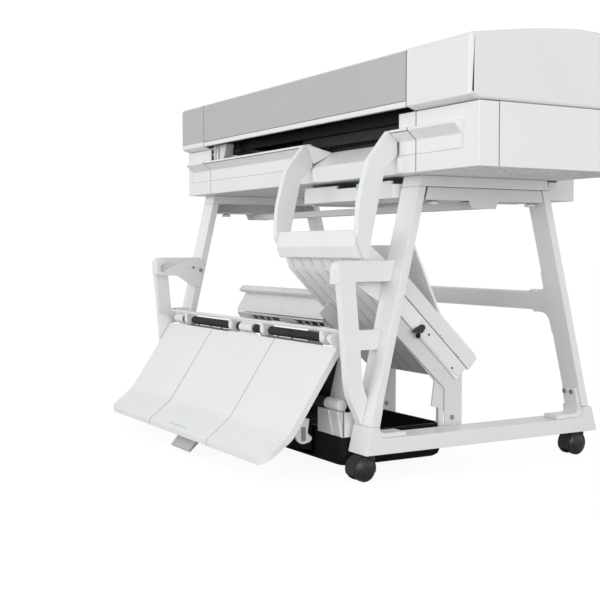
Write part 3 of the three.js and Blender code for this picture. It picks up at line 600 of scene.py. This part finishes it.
def seams():
    """Dark strips in the joints of the housing, below the grey facing and under the ledge: painted shade in
    the gaps and under the lips.
    """
    outer = rounded(UPPER, 10)
    ring = inset(outer, 0.5) + inset(outer, 6)[::-1]
    for name, x in (("left", PANEL_LEFT + 2.5), ("right", PANEL_RIGHT - 2.5)):
        gap_shade = loft(f"gap_shade_top_{name}", [[at(x + dx, *p) for p in ring] for dx in (-0.85, 0.85)])
        dress(gap_shade, JOINT_SHADE, 0)
    ledge = [(FACE_Y + 2, 744.8), (FACE_Y - 0.1, 744.8), (BROW_Y - 0.15, 764.3), (BROW_Y - 0.15, 769.7),
             (FACE_Y, 773.7), (FACE_Y + 2, 773.7)]
    for name, x, half, top in (("left", PANEL_LEFT - 0.2, 0.7, 775),
                               ("right", PANEL_RIGHT + 0.5, 0.45, 813)):
        bars = [block(f"gap_shade_bar_{name}_{k}", (x - half, FACE_Y - 0.15, z0), (x + half, FACE_Y + 4, z1))
                for k, (z0, z1) in enumerate(((BODY_LOW + 2, 745.3), (773, top)))]
        lip = prism(f"gap_shade_ledge_{name}", ledge, "X", x - half, x + half)
        dress(join(f"gap_shade_face_{name}", lip, *bars), JOINT_SHADE, 0)
    low, high = span("lid")
    ends = [block(f"lid_end_{x}", (x, BROW_Y - 0.45, 815.5), (x + 1.3, BROW_Y + 2, 932))
            for x in (low.x - 0.6, high.x - 0.7)]
    shadow = block("gap_shade_brow", (low.x + 0.5, BROW_Y - 0.25, 826.3), (high.x - 0.5, BROW_Y + 2, 827.5))
    dress(join("lid_gap_shades", shadow, *ends), JOINT_SHADE, 0, body="lid")
    left, right = span("guide_arm_left")[0].x, span("guide_arm_right")[1].x
    for name, x0, x1 in (("left", PANEL_LEFT, left - 2), ("right", right + 4, PANEL_RIGHT)):
        # painted shade: a dark line under the ledge's lip
        line = block(f"ledge_shade_line_{name}", (x0, BROW_Y - 0.2, 762.9), (x1, BROW_Y + 2, 764.0))
        dress(line, JOINT_SHADE, 0)
    side = block("gap_shade_side", (BODY_RIGHT - 3, -197.9, BODY_LOW + 2),
                 (BODY_RIGHT - 0.6, -196.7, SEAM_Z - 1))
    dress(side, JOINT_SHADE, 0)


def front_details():
    """Badge plate, arm mounts and slots, and the ramp between the arms with its corner gussets."""
    plate = prism("badge_plate", [(678, 716, 1.5), (767, 716, 1.5), (767, 739, 1.5), (678, 739, 1.5)], "Y",
                  FACE_Y - 0.9, FACE_Y + 1)
    dress(plate, SHELL, 0.4, 2, body="ink_door")
    left, right = span("guide_arm_left")[1].x, span("guide_arm_right")[1].x
    for name, x in (("left", left), ("right", right)):
        outline = [(x + 1.5, FACE_Y + 1), (x + 3, FACE_Y - 7, 5), (x + 15, FACE_Y - 7, 6),
                   (x + 19, FACE_Y + 1)]
        dress(prism(f"arm_mount_{name}", outline, "Z", BODY_LOW + 2, POCKET_LOW - 4, 8), SHELL)
    slot = block("arm_slot_right", (right + 3, FACE_Y - 0.35, POCKET_LOW + 3),
                 (right + 5.2, FACE_Y + 1, 757))
    dress(slot, BLACK, 0)
    inner = span("guide_arm_right")[0].x
    ramp = [(FACE_Y - 0.3, POCKET_LOW + 0.5), (-203, 752, 2), (-197, 752, 1), (-197, 744),
            (FACE_Y + 3, POCKET_LOW)]
    dress(prism("output_ramp", ramp, "X", left + 1.2, inner - 1.2), SHELL, 0.6, 2)
    ribs = [sweep(f"ramp_rib_{k}", [(-242, 719.6), (-206, 750.2)], x, 1.6, -0.7)
            for k, x in enumerate((262, 338, 430))]
    dress(join("ramp_ribs", *ribs), SHELL, 0)
    for name, x, way in (("left", left + 1.2, 1), ("right", inner - 1.2, -1)):
        gusset = loft(f"ledge_gusset_{name}", [
            [at(x, *p) for p in ((BROW_Y + 3, 771), (FACE_Y - 0.4, 722), (-204, 744), (-204, 756))],
            [at(x + way * 15, *p) for p in ((-213, 753), (-222, 740), (-206, 744), (-206, 752.6))]])
        dress(gusset, SHELL, 0.8, 2)


def slot_interior():
    """What shows through the output slot: dark beam, sloping plate, star-wheel comb and end brackets."""
    x0, x1 = (corner.x for corner in span("platen"))
    beam = [(-197, 798), (-197, 824, 3), (-190, 830, 3), (-182, 830), (-182, 802), (-187, 797, 2)]
    dress(prism("paper_guide_beam", beam, "X", x0 + 70, x1 - 4), BLACK, 0.8, 2)
    plate = [(-203, 769), (-186, 797, 2), (-182, 797), (-198, 767)]
    dress(prism("paper_guide_plate", plate, "X", 26, x1 - 4), SLOT_PLATE, 0.5, 2)
    wheels = [block("star_wheel_bar", (186, -202, 753), (536, -198, 768))]
    for x in range(190, 532, 12):
        wheels.append(lathe(f"star_wheel_{x}", plug(4.6, 0, 2.4), (x, -203, 763), "X", 12))
    dress(join("star_wheels", *wheels), BLACK, 0)
    skin("platen", 0.5, 2)
    bracket = [block("slot_post_a", (-416, -240, 774.5), (-406, -214, 818), 1),
               block("slot_post_b", (-404, -236, 774.5), (-394, -214, 818), 1),
               prism("slot_post_c", [(-380, 776), (-354, 776, 6), (-345, 790, 12), (-337, 818),
                                     (-380, 818)], "Y", -237, -212),
               block("slot_post_back", (-404, -214, 774.5), (-370, -208, 818)),
               block("slot_post_foot", (-416, -240, 774), (-356, -204, 776.5), 2)]
    dress(join("slot_bracket", *bracket), SOFT, 0.8, 2)
    blank = [(FACE_Y + 0.2, 774), (FACE_Y + 0.2, 806), (-200, 806), (-200, 774)]
    dress(prism("slot_end_blank", blank, "X", 549, 611), SHELL, 0.8, 2)


def inside():
    """Carriage, rail, rollers, roll and ink station."""
    skin("carriage_rail")
    skin("drive_roller", 0.5, 2)
    skin("roll_cradle", 1.2)
    skin("roll_spindle")
    low, high = span("paper_roll")
    radius, half = (high.z - low.z) / 2, (high.x - low.x) / 2
    rings = [circle("X", (low + high) / 2, r, h, 96) for r, h in spool(ROLL_CORE, radius, -half, half)]
    dress(loft("paper_roll_wound", rings, caps=False), PAPER, 0, node="paper_roll")
    skin("carriage", 1.5)
    low, high = span("carriage")
    vents = [block(f"carriage_vent_{k}", (low.x + 14 + 12 * k, low.y - 0.6, 820),
                   (low.x + 20 + 12 * k, low.y + 2, 858), 1) for k in range(8)]
    dress(join("carriage_vents", *vents), BLACK, 0, body="carriage")
    rail_low, rail_high = span("carriage_rail")
    belt = block("carriage_belt", (rail_low.x + 20, rail_low.y - 1.6, 838),
                 (rail_high.x - 20, rail_low.y - 0.4, 846))
    dress(belt, RUBBER, 0.2, 2)
    skin("ink_station")
    bay = span("ink_station")[0].x
    for k, ink in enumerate(INKS):
        x = bay + 4 + 46 * k
        case = block(f"ink_cartridge_{k}", (x + 2, -181, 694), (x + 40, -104, 762), 3)
        dress(case, DARK, 1.2)
        label = block(f"ink_label_{k}", (x + 6, -181.7, 702), (x + 36, -180.5, 740))
        dress(label, ink, 0.3, 2)


def rear_details():
    skin("rear_panel")
    skin("power_inlet", 0.8)
    low, high = span("power_inlet")
    middle = (low + high) / 2
    pins = [block(f"inlet_pin_{k}", (middle.x + dx - 1, high.y - 15, middle.z + dz - 2.6),
                  (middle.x + dx + 1, high.y - 3, middle.z + dz + 2.6)) for k, (dx, dz) in enumerate(
                      ((-7, -2.5), (0, 2.5), (7, -2.5)))]
    dress(join("inlet_pins", *pins), STEEL, 0.3, 2)
    vents = [block(f"rear_vent_{k}", (9 * k - 470, BODY_REAR - 1.5, 715),
                   (9 * k - 466, BODY_REAR + 0.3, 770), 1.5) for k in range(26)]
    dress(join("rear_vents", *vents), BLACK, 0)
    for k, x in enumerate((-560, -200, 160, 520, 806)):
        bolt(f"rear_screw_{k}", (x, BODY_REAR, 792), "+Y", 3.2, 2.0)


def underside():
    """Rows of louvres in the floor of the right end."""
    louvres = []
    for row, y in enumerate((-220, -188, -156, -125, -94, -62, -34)):
        for k in range(8):
            x = 590 + 27 * k + 9 * (row % 2)
            louvres.append(block(f"louvre_{row}_{k}", (x, y, BODY_LOW - 0.9),
                                 (x + 17, y + 5, BODY_LOW + 0.5), 2))
    # painted light: the louvres take the lighter copy of the white shell
    dress(join("floor_louvres", *louvres), PAINTED_LIGHT_WHITE, 0.3, 2, slot="soft_white_shell")


def controls():
    """Power button with its ring, and the display in the top of the right end."""
    low, high = span("power_button")
    middle = (low + high) / 2
    radius = (high.x - low.x) / 2
    profile = [(AXIS, 937), (radius, 937), (radius, high.z - 1.2), (radius - 1.2, high.z),
               (radius * 0.4, high.z - 0.5), (AXIS, high.z - 0.7)]
    button = lathe("power_button_cap", profile, (middle.x, middle.y, 0), "Z", 48)
    dress(button, GREY, 0, node="power_button")
    slope = math.atan2(962 - 938, -100 - (BROW_Y + 6))
    y0, y1 = -226, -150
    face = lambda y: 938 + math.tan(slope) * (y - (BROW_Y + 6))
    lift = 1.0
    screen = loft("display_panel", [[at(x, y, face(y) + dz) for y, dz in (
        (y0, -1), (y1, -1), (y1, lift), (y0, lift))] for x in (640, 700)])
    dress(screen, GLASS, 0.8)


def cassette():
    low, high = span("sheet_cassette")
    outer = [(low.x, low.y, 14), (high.x, low.y, 22), (high.x, high.y, 6), (low.x, high.y, 6)]
    inner = [(low.x + 4, low.y + 6, 10), (high.x - 4, low.y + 6, 16), (high.x - 4, high.y - 4, 3),
             (low.x + 4, high.y - 4, 3)]
    body = "cassette"
    dress(tub("sheet_cassette_tray", outer, inner, low.z, high.z - 8, low.z + 4), SHELL, 0.8, 2,
          node="sheet_cassette")
    notch = (low.x + 166, low.x + 256)
    parts = [block("cassette_lip_left", (low.x + 12, low.y, high.z - 9), (notch[0], low.y + 6, high.z)),
             block("cassette_lip_right", (notch[1], low.y, high.z - 9), (high.x - 20, low.y + 6, high.z))]
    dress(join("cassette_lip", *parts), SHELL, 0.6, 2, body=body)
    latch = block("cassette_latch", (notch[1], low.y - 1.0, high.z - 14),
                  (notch[1] + 20, low.y + 5, high.z - 0.5), 2)
    dress(latch, LATCH_BLUE, 0.6, 2, body=body)
    marks = []
    for k, x in enumerate((low.x + 14, high.x - 24)):
        for row in range(3):
            z = low.z + 22 + row * 5
            marks.append(block(f"cassette_mark_{k}_{row}", (x, low.y - 0.3, z), (x + 4, low.y + 1, z + 1)))
    dress(join("cassette_marks", *marks), GREY, 0, body=body)
    paper = block("sheet_stack", (low.x + 8, low.y + 12, low.z + 4.3), (high.x - 8, high.y - 8, low.z + 16))
    dress(paper, PAPER, 0.4, 2, body=body)


def printer():
    skin("base_pan")
    skin("front_panel", 0.9, look=FRONT)
    skin("fascia_left", 1.6, look=FRONT)
    skin("ink_door", 1.6, look=FRONT)
    for side in ("right", "left"):
        skin(f"side_panel_{side}", 1.2)
    upper_end("upper_end_left", PANEL_LEFT + 1.5, BODY_LEFT)
    upper_end("upper_end_right", PANEL_RIGHT - 1.5, BODY_RIGHT)
    grey_front("left_end_grey_front", BODY_LEFT + END_ROUND, PANEL_LEFT + 1.4, CHASSIS)
    seams()
    lid()
    roll_cover()
    front_details()
    slot_interior()
    inside()
    rear_details()
    underside()
    controls()
    cassette()
    skin("supply_box", 2.0)


# ---------- guide arms and stacker ----------
CHUTE_LEFT, CHUTE_RIGHT = 150, 487
CHUTE_SLOPE = math.atan(0.97)
CHUTE_DEPTH = 76
TRAY_SEAM = 180


def dip(y, depth):
    """A point at a depth below the chute's straight top line, square to it."""
    z = 447 - math.tan(CHUTE_SLOPE) * (y + 180)
    return y - depth * math.sin(CHUTE_SLOPE), z - depth * math.cos(CHUTE_SLOPE)


def guide_loop():
    for node in ("guide_arm_left", "guide_arm_right"):
        skin(node, 1.4, angle=20)
    low, high = span("guide_crossbar")
    section = [(-347, 553, 4), (-354.5, 516, 2), (-346, 490, 3), (-318, 490, 3), (-318, 502), (-336, 543),
               (-336, 553, 4)]
    dress(prism("guide_crossbar_bar", section, "X", low.x, high.x, 6), SHELL, 1.2, node="guide_crossbar")


def sweep(name, path, x, width, height):
    """A raised rib along a Y-Z path, as a closed strip standing out on the left of the path."""
    rows = []
    for i, here in enumerate(path):
        way = (Vector(path[min(i + 1, len(path) - 1)]) - Vector(path[max(i - 1, 0)])).normalized()
        out = Vector((way.y, -way.x)) * height
        rows.append([at(x + dx, *(Vector(here) + out * k)) for dx, k in (
            (-width / 2, -0.3), (width / 2, -0.3), (width / 4, 1), (-width / 4, 1))])
    return loft(name, rows)


def chute():
    # painted light: the chute and its ribs take the lighter copy of the white shell
    skin("chute", 0.8, 2, PAINTED_LIGHT_WHITE)
    front = rounded([(-311.5, 487), (-300, 462, 8), (-262, 423, 30), dip(10, CHUTE_DEPTH)], 6)
    places = [CHUTE_LEFT + 24 + (CHUTE_RIGHT - CHUTE_LEFT - 48) * k / 6 for k in range(7)]
    ribs = [sweep(f"chute_rib_{k}", front, x, 7, -2.2) for k, x in enumerate(places)]
    dress(join("chute_ribs", *ribs), PAINTED_LIGHT_WHITE, 0)
    # painted shade: thin dark lines beside each rib
    lines = [sweep(f"chute_line_{k}_{side}", front, x + side * 4.6, 1.5, -0.25)
             for k, x in enumerate(places) for side in (-1, 1)]
    dress(join("chute_lines", *lines), SHADOW_GROOVE, 0)
    for name, x0, x1, lag in (("right", CHUTE_RIGHT - 0.5, CHUTE_RIGHT + 2.6, 1.6),
                              ("left", CHUTE_LEFT - 2.6, CHUTE_LEFT + 0.5, 1)):
        cap = [dip(-178, 0), dip(24.6, 0) + (5,), dip(24.6, 35.5) + (2,), dip(-178, 35.5)]
        dress(prism(f"chute_channel_{name}", cap, "X", x0, x1), SHELL, 0.9, 2)
        panel = [dip(-110, 42.5), dip(17, 42.5), dip(17, 66) + (6,),
                 dip(-5, CHUTE_DEPTH - 2) + (5,), dip(-107, CHUTE_DEPTH - 3) + (14,)]
        dress(prism(f"chute_panel_{name}", panel, "X", x0, x1, 8), SHELL, 0.9, 2)
        # painted shade: a dark line under the edge of the channel
        seam = [dip(-178, 36.2), dip(22, 36.2), dip(22, 37.1), dip(-178, 37.1)]
        dress(prism(f"chute_seam_{name}", seam, "X", x0 + lag, x1 - 1), JOINT_SHADE, 0)
    for k, (y, depth) in enumerate(((-81, 55), (-5, 66))):
        py, pz = dip(y, depth)
        hole = lathe(f"chute_hole_{k}", plug(2.8, 0, 0.5), (CHUTE_RIGHT + 2.5, py, pz), "X", 24)
        dress(hole, BLACK, 0)
    for k, y in enumerate((-62, -56, -14, -8)):
        py, pz = dip(y, 34)
        screw = lathe(f"slot_screw_{k}", plug(1.5, 0, 0.4), (CHUTE_RIGHT + 2.4, py, pz), "X", 16)
        dress(screw, SCREW, 0)


def access_covers():
    """The two thin bent covers, and the fixed foot with its gussets that they are hinged to."""
    for side in ("left", "right"):
        skin(f"curved_cover_{side}", 0.8, 2)
    skin("transport_duct", 0.6, 2)
    foot = [(-129.5, 318), (-131, 316, 1), (-121, 300.5, 1), (-89, 294), (-89, 297), (-119, 303.5, 1),
            (-127, 316)]
    back = [(-122, 317), (-114, 301), (-90, 296), (-90, 317)]
    for name, x0, x1 in (("left", -480, -214), ("right", -213, 34)):
        parts = [prism(f"foot_{name}", foot, "X", x0, x0 + 84),
                 prism(f"foot_end_{name}", foot, "X", x1 - 5, x1),
                 prism(f"foot_bar_{name}", [(-128.5, 318), (-129.5, 314), (-126, 311), (-124, 318)], "X",
                       x0, x1)]
        parts += [prism(f"foot_web_{name}_{k}", [(-127, 312), (-119, 301), (-100, 300), (-104, 312)], "X",
                        x0 + 84 + 40 * k, x0 + 87 + 40 * k) for k in range(4)]
        dress(join(f"cover_foot_{name}", *parts), SOFT, 0.5, 2)
        # painted shade: a dark block fills the recess behind the foot's webs
        dress(prism(f"cover_recess_shade_{name}", back, "X", x0 + 86, x1 - 6), DARK, 0.4, 2)
    posts = [block(f"post_{x}", (x, -126, 300), (x + 3, -92, 396)) for x in (38, 56, 92, 128)]
    dress(join("duct_posts", *posts), SHEET, 0.5, 2)


def rollers():
    """Feed roller: rubber sleeves on a steel shaft, and the bar that carries it."""
    low, high = span("feed_roller")
    y, z = (low.y + high.y) / 2, (low.z + high.z) / 2
    shaft = lathe("feed_roller_shaft", spool(AXIS, 5, low.x, high.x, 0.6, 0.6), (0, y, z), "X", 32)
    dress(shaft, STEEL, 0, slot="bare_steel", node="feed_roller")
    sleeves = [lathe(f"sleeve_{x0}", spool(4.9, 11, x0, x1), (0, y, z), "X", 48)
               for x0, x1 in ((-410, -384), (-350, -92), (-62, -46), (34, 86), (118, 378))]
    dress(join("feed_roller_sleeves", *sleeves), RUBBER, 0, body="feed_roller")
    bar = [block("bar_plate", (-448, -366, 328), (483, -350, 331.5)),
           block("bar_fold", (-448, -352, 322), (483, -350, 329))]
    hanger = [(-354, 329), (-354, 300, 4), (-344, 290, 6), (-322, 290, 8), (-322, 318, 6), (-336, 329)]
    bar += [prism(f"hanger_{x}", hanger, "X", x, x + 18) for x in (-378, -88, 92, 384)]
    dress(join("roller_bar_frame", *bar), SHELL, 0.8, 2, node="roller_bar")
    barrels = [lathe(f"barrel_{x0}", spool(5.4, 13, x0, x1, 0.6, 0.8), (0, y, z), "X", 40)
               for x0, x1 in ((-468, -412), (-42, 30), (404, 462))]
    guard = prism("bearing_guard", [(-72, -362), (74, -362, 4), (80, -352, 4), (66, -350), (-66, -350)],
                  "Z", 281, 293)
    dress(join("roller_barrels", guard, *barrels), SHELL, 1.0, 2)
    strips = [block(f"strip_{x0}", (x0, -345, 280), (x1, -342, 294))
              for x0, x1 in ((-356, -90), (112, 382))]
    strips += [block(f"strip_tab_{x}", (x, -346.5, 280), (x + 3, -342, 296))
               for x in (-300, -220, -150, 170, 240, 320)]
    dress(join("roller_strips", *strips), SMOKE, 0.4, 2)
    for k, x in enumerate((-440, 474)):
        bolt(f"bar_screw_{k}", (x, -358, 333), "+Z", 3, 2)


def lower_tube():
    """The sleeved tube under the tray, with end caps, end boards and the ears of the bar above."""
    low, high = span("lower_tube")
    y, z = (low.y + high.y) / 2, (low.z + high.z) / 2
    end = high.x - 20
    sleeve = 403
    profile = [(AXIS, -end - 0.2), (8, -end - 0.2), (8, -sleeve - 1), (13, -sleeve), (13, sleeve),
               (8, sleeve + 1), (8, end + 0.2), (AXIS, end + 0.2)]
    dress(lathe("lower_tube_sleeve", profile, (0, y, z), "X", 48), DARK, 0, node="lower_tube")
    cap_profile = [(AXIS, 405), (13.2, 405), (13.8, 406), (13.8, end + 17), (12.4, end + 19.2),
                   (AXIS, end + 19.4)]
    for name, sign in SIDES:
        # painted light: the caps and end boards take the lighter copy of the white shell
        cap = lathe(f"tube_cap_{name}", [(r, sign * x) for r, x in cap_profile], (0, y, z), "X", 48)
        dress(cap, PAINTED_LIGHT_WHITE, 0)
        board = [(423, 262), (454, 262), (447, 134, 6), (384, 134, 6), (383, 158, 4)]
        board = [(sign * u, v, *r) for u, v, *r in board]
        dress(prism(f"bar_end_board_{name}", board, "Y", -326.8, -322), PAINTED_LIGHT_WHITE, 0.8, 2)
        ear = [(-386, 316, 8), (-366, 324, 3), (-351, 324), (-351, 292, 4), (-362, 288, 6), (-384, 302, 6)]
        if sign < 0:
            ear = [(-390, 320, 12), (-364, 311, 6), (-351, 294, 5), (-374, 262), (-387, 243, 6),
                   (-392, 260, 8)]
        x0, x1 = sorted((sign * 474, sign * 480))
        dress(prism(f"bar_ear_{name}", ear, "X", x0, x1, 8), SHELL)


# The tray's upper and lower faces, from its top edge down the slope and out to the lip.
TRAY_UPPER = [(-358, 291), (-483, 103.5, 12), (-545.6, 54.2)]
TRAY_LOWER = [(-346.4, 282.4), (-472, 93, 12), (-545.6, 40.5)]
TRAY_CORNERS = {-1: 12, 1: 32}
TRAY_DRAFT = 15
TRAY_ROWS = 60


def along(corners, count):
    """Points at even distances along a rounded line."""
    points = rounded(corners, 14)
    lengths = [0]
    for a, b in zip(points, points[1:]):
        lengths.append(lengths[-1] + (b - a).length)
    spaced = []
    i = 0
    for k in range(count + 1):
        distance = lengths[-1] * k / count
        while i < len(points) - 2 and lengths[i + 1] < distance:
            i += 1
        share = (distance - lengths[i]) / (lengths[i + 1] - lengths[i])
        spaced.append(points[i].lerp(points[i + 1], share))
    return spaced


def partway(points, share):
    """A point at a share of the way along evenly spaced points."""
    place = max(0.0, min(share, 1.0)) * (len(points) - 1)
    i = min(int(place), len(points) - 2)
    return points[i].lerp(points[i + 1], place - i)


def tray_panel(node, free=0):
    """A bent panel with a thick edge; its free side (-1 left, 1 right) ends in a rounded corner."""
    low, high = span(node)
    upper, lower = along(TRAY_UPPER, 200), along(TRAY_LOWER, 200)
    length = sum((b - a).length for a, b in zip(upper, upper[1:]))
    radius = TRAY_CORNERS.get(free, 0)
    edge = low.x if free < 0 else high.x
    xs = {round(low.x + (high.x - low.x) * k / 10, 3) for k in range(11)}
    if free:
        xs |= {round(edge - free * radius * (1 - math.cos(math.radians(a))), 3) for a in range(0, 91, 9)}
    rows = []
    for x in sorted(xs):
        depth = radius - abs(x - edge) if free else 0
        shy = radius - math.sqrt(radius ** 2 - depth ** 2) if depth > 0 else 0
        draft = TRAY_DRAFT * (high.x - x) / (high.x - low.x) if free < 0 else 0
        shares = [(1 - shy / length) * j / TRAY_ROWS for j in range(TRAY_ROWS + 1)]
        rows.append([at(x, *partway(upper, share)) for share in shares]
                    + [at(x + draft, *partway(lower, share)) for share in reversed(shares)])
    dress(loft(f"{node}_shell", rows, strips=True), TRAY, angle=50, node=node)


def tray():
    tray_panel("tray_panel_left", -1)
    tray_panel("tray_panel_middle")
    tray_panel("tray_panel_right", 1)
    upper, lower = along(TRAY_UPPER, TRAY_ROWS), along(TRAY_LOWER, TRAY_ROWS)
    # painted shade: a dark strip inside each gap between the panels
    for k, x in enumerate((-TRAY_SEAM - 0.5, TRAY_SEAM - 0.5)):
        seam = [p.lerp(q, -0.012) for p, q in zip(upper, lower)]
        seam += [p.lerp(q, 0.9) for p, q in zip(upper, lower)][::-1]
        filler = loft(f"tray_joint_shade_{k}", [[at(x + dx, *p) for p in seam] for dx in (-0.5, 0.5)])
        dress(filler, JOINT_SHADE, 0, body="front_tray", slot="white_shell")
    a, b = partway(upper, 0.955), partway(upper, 0.963)
    up = Vector((b.y - a.y, a.x - b.x)).normalized()
    line = loft("tray_size_mark",
                [[at(x, *p) for p in (a - up * 0.5, b - up * 0.5, b + up * 0.15, a + up * 0.15)]
                 for x in (-70, 40)])
    dress(line, LATCH_BLUE, 0, body="front_tray")
    skin("tray_release", 1.2)
    for k, x in enumerate((-430, 430)):
        rail = sweep(f"tray_rail_{k}", [(-352, 262), (-440, 130), (-462, 100)], x, 18, 6)
        dress(rail, SHELL, 1.0, 2, body="front_tray")


def base():
    """Support frame with its bolts, the moulded tub, the sheet hung in it, and the white front panel."""
    skin("support_frame", 0.9, 2)
    for name, x in (("right", CHUTE_RIGHT - 6), ("left", CHUTE_LEFT + 58)):
        bolt(f"frame_bolt_{name}", (x, -43.3, 111), "+X", 4.4, 2.6)
    gusset = [(-205, 314.5), (-91.5, 200.8), (-100, 140.5), (-89, 138), (-78, 134.5, 3), (-61, 125.6),
              (-40, 150), (-60, 230)]
    dress(prism("frame_gusset", gusset, "X", 471, 475.5), SHEET, 0.5, 2)
    flange = block("frame_flange", (466, -80, 90), (476.5, -66.5, 136))
    dress(flange, SHEET, 0.5, 2)
    tub_shell()
    front = block("base_panel_front", (376, -353, 90), (487, -349.6, 146))
    wall = block("base_panel_wall", (483.6, -353, 90), (487, -292, 146))
    dress(join("base_front_panel", front, wall), SOFT, 0.8, 2)
    ribs = [prism(f"base_panel_rib_{x0}", [(x0, 146), (x0 + 5, 146), (x1 + 5, 90), (x1, 90)],
                  "Y", -355.5, -352) for x0, x1 in ((421, 440), (458, 479))]
    ribs.append(block("base_panel_step", (377, -355, 132), (486, -352, 134.5)))
    dress(join("base_panel_ribs", *ribs), SOFT, 0.6, 2)
    path = rounded([(-352, 172), (-354, 120, 10), (-354, 60, 20), (-352, 30)], 6)
    dress(sweep("hanging_guide", path, 31, 640, 1.6), BLACK, 0)
    # painted shade: a dark sheet hung behind the end boards where shade falls
    curtain = block("shade_curtain", (-470, -321.4, 150), (470, -319.8, 262))
    dress(curtain, DARK, 0.3, 2)


def tub_shell():
    """The base tub: drawn in towards its rounded bottom edge."""
    low, high = span("base_tub")
    rows = [(25, low.z + 0.2), (14, low.z + 2.2), (5, low.z + 9), (1.2, low.z + 19), (0.3, low.z + 30),
            (0.3, high.z - 7), (0, high.z - 6), (0, high.z - 0.4), (5.4, high.z - 0.4), (6, low.z + 30),
            (9, low.z + 14), (22, low.z + 7)]
    rings = []
    for shrink, z in rows:
        front = max(44 - shrink, 18)
        back = max(12 - shrink, 3) if shrink < 9 else 6
        outline = [(low.x + shrink, low.y + shrink, front), (high.x - shrink, low.y + shrink, front),
                   (high.x - shrink, high.y - shrink, back), (low.x + shrink, high.y - shrink, back)]
        rings.append([spot("Z", p, z) for p in rounded(outline, 12)])
    dress(loft("base_tub_shell", rings), BLACK, 0.6, 2, node="base_tub")


def mechanism():
    """Small tray stay beside the base: a bent link with a long slot and a hook at its foot."""
    hook = [(-399, 125), (-387, 123, 2), (-392, 91, 4), (-379, 78, 3), (-386, 69, 3), (-408, 65, 8),
            (-423, 78, 8), (-424, 104, 4), (-412, 122)]
    dress(prism("tray_stay", hook, "X", 390, 397, 8), SOFT, 1.0, 2, body="front_tray")
    # painted shade: the long slot is drawn as a thin grey plate
    slot = [(-397.5, 73, 5), (-397.5, 106, 5), (-409.5, 106, 5), (-409.5, 73, 5)]
    dress(prism("tray_stay_slot", slot, "X", 396, 397.3, 8), SHADOW_GROOVE, 0, body="front_tray",
          slot="black_plastic")


def stacker():
    guide_loop()
    chute()
    access_covers()
    rollers()
    lower_tube()
    tray()
    base()
    lever = [(-170, 318, 4), (-140, 316, 4), (-130, 330, 6), (-140, 338, 6), (-166, 326, 3)]
    near, far = CHUTE_RIGHT + 3.4, span("latch_lever")[1].x - 0.3
    dress(prism("latch_lever_grip", lever, "X", near, far), DARK, node="latch_lever")
    roller = lathe("latch_roller", spool(AXIS, 6.6, near, far, 0.6, 0.8), (0, -152, 311), "X", 36)
    boss = lathe("latch_boss", plug(5, near - 0.6, near + 0.4), (0, -146, 325), "X", 32)
    dress(join("latch_pivot", roller, boss), BLACK, 0, body="latch_lever")


# ---------- stage, light and camera ----------
SKY = (1.07, 0.49)  # strength of the light from the horizon and from straight above
BACKDROP = 1.05
FLOOR_SIZE = 30
LENS = 63.9
EYE = (2479.4, -1616.1, 510.2)
EYE_TURN = (87.27, 0, 59.97)
LAMPS = {"key": ((-0.6, -5.4, 0.9), (0.1, 0, 0.6), 3.6, 80),
         "side": ((5.6, -0.8, 1.3), (0.1, 0, 0.5), 3.5, 60),
         "fill": ((3.6, -4.0, 0.8), (0.1, 0, 0.6), 3.6, 44)}


def stage():
    bm = bmesh.new()
    bm.faces.new([bm.verts.new((x * FLOOR_SIZE, y * FLOOR_SIZE, 0))
                  for x, y in ((-1, -1), (1, -1), (1, 1), (-1, 1))])
    floor = made("studio_floor", bm)
    n = Nodes(bpy.data.materials.new("studio_floor"))
    n.put("Roughness", 0.9)
    n.put("Specular IOR Level", 0.0)
    seen = n.add("LightPath").outputs["Is Camera Ray"]
    grain = n.ramp(n.noise(3.0), 0.3, 0.7, 0.97, 1.0)
    plain = n.mix(seen, (0.56, 0.56, 0.56, 1), (0.12, 0.12, 0.12, 1))
    n.put("Emission Color", (1, 1, 1, 1))
    n.put("Emission Strength", n.math("MULTIPLY", seen, 0.93))
    tint = n.add("Mix", {"Factor": 1.0, 6: plain, 7: grain}, data_type="RGBA",
                 blend_type="MULTIPLY")
    n.put("Base Color", tint.outputs[2])
    floor.data.materials.append(n.material)
    world = bpy.data.worlds.new("studio")
    bpy.context.scene.world = world
    n = Nodes(world, "Background", "Generated")
    seen = n.add("LightPath").outputs["Is Camera Ray"]
    glow = n.ramp(seen, 0, 1, n.ramp(n.axes()[2], 0, 1, *SKY), BACKDROP)
    n.put("Strength", glow)
    n.put("Color", (1, 1, 1, 1))


def lamp(name, place, target, size, power):
    data = bpy.data.lights.new(name, "AREA")
    data.shape = "DISK"
    data.size = size
    data.energy = power
    light = bpy.data.objects.new(name, data)
    bpy.context.scene.collection.objects.link(light)
    light.location = place
    light.rotation_euler = (Vector(target) - Vector(place)).to_track_quat("-Z", "Y").to_euler()


def camera():
    data = bpy.data.cameras.new("camera")
    data.sensor_width = 36
    data.lens = LENS
    eye = bpy.data.objects.new("camera", data)
    bpy.context.scene.collection.objects.link(eye)
    eye.location = at(*EYE)
    eye.rotation_euler = [math.radians(turn) for turn in EYE_TURN]
    bpy.context.scene.camera = eye


stand()
printer()
stacker()
mechanism()
stage()
for lamp_name, settings in LAMPS.items():
    lamp(lamp_name, *settings)
camera()
bpy.context.scene.view_settings.view_transform = "Standard"
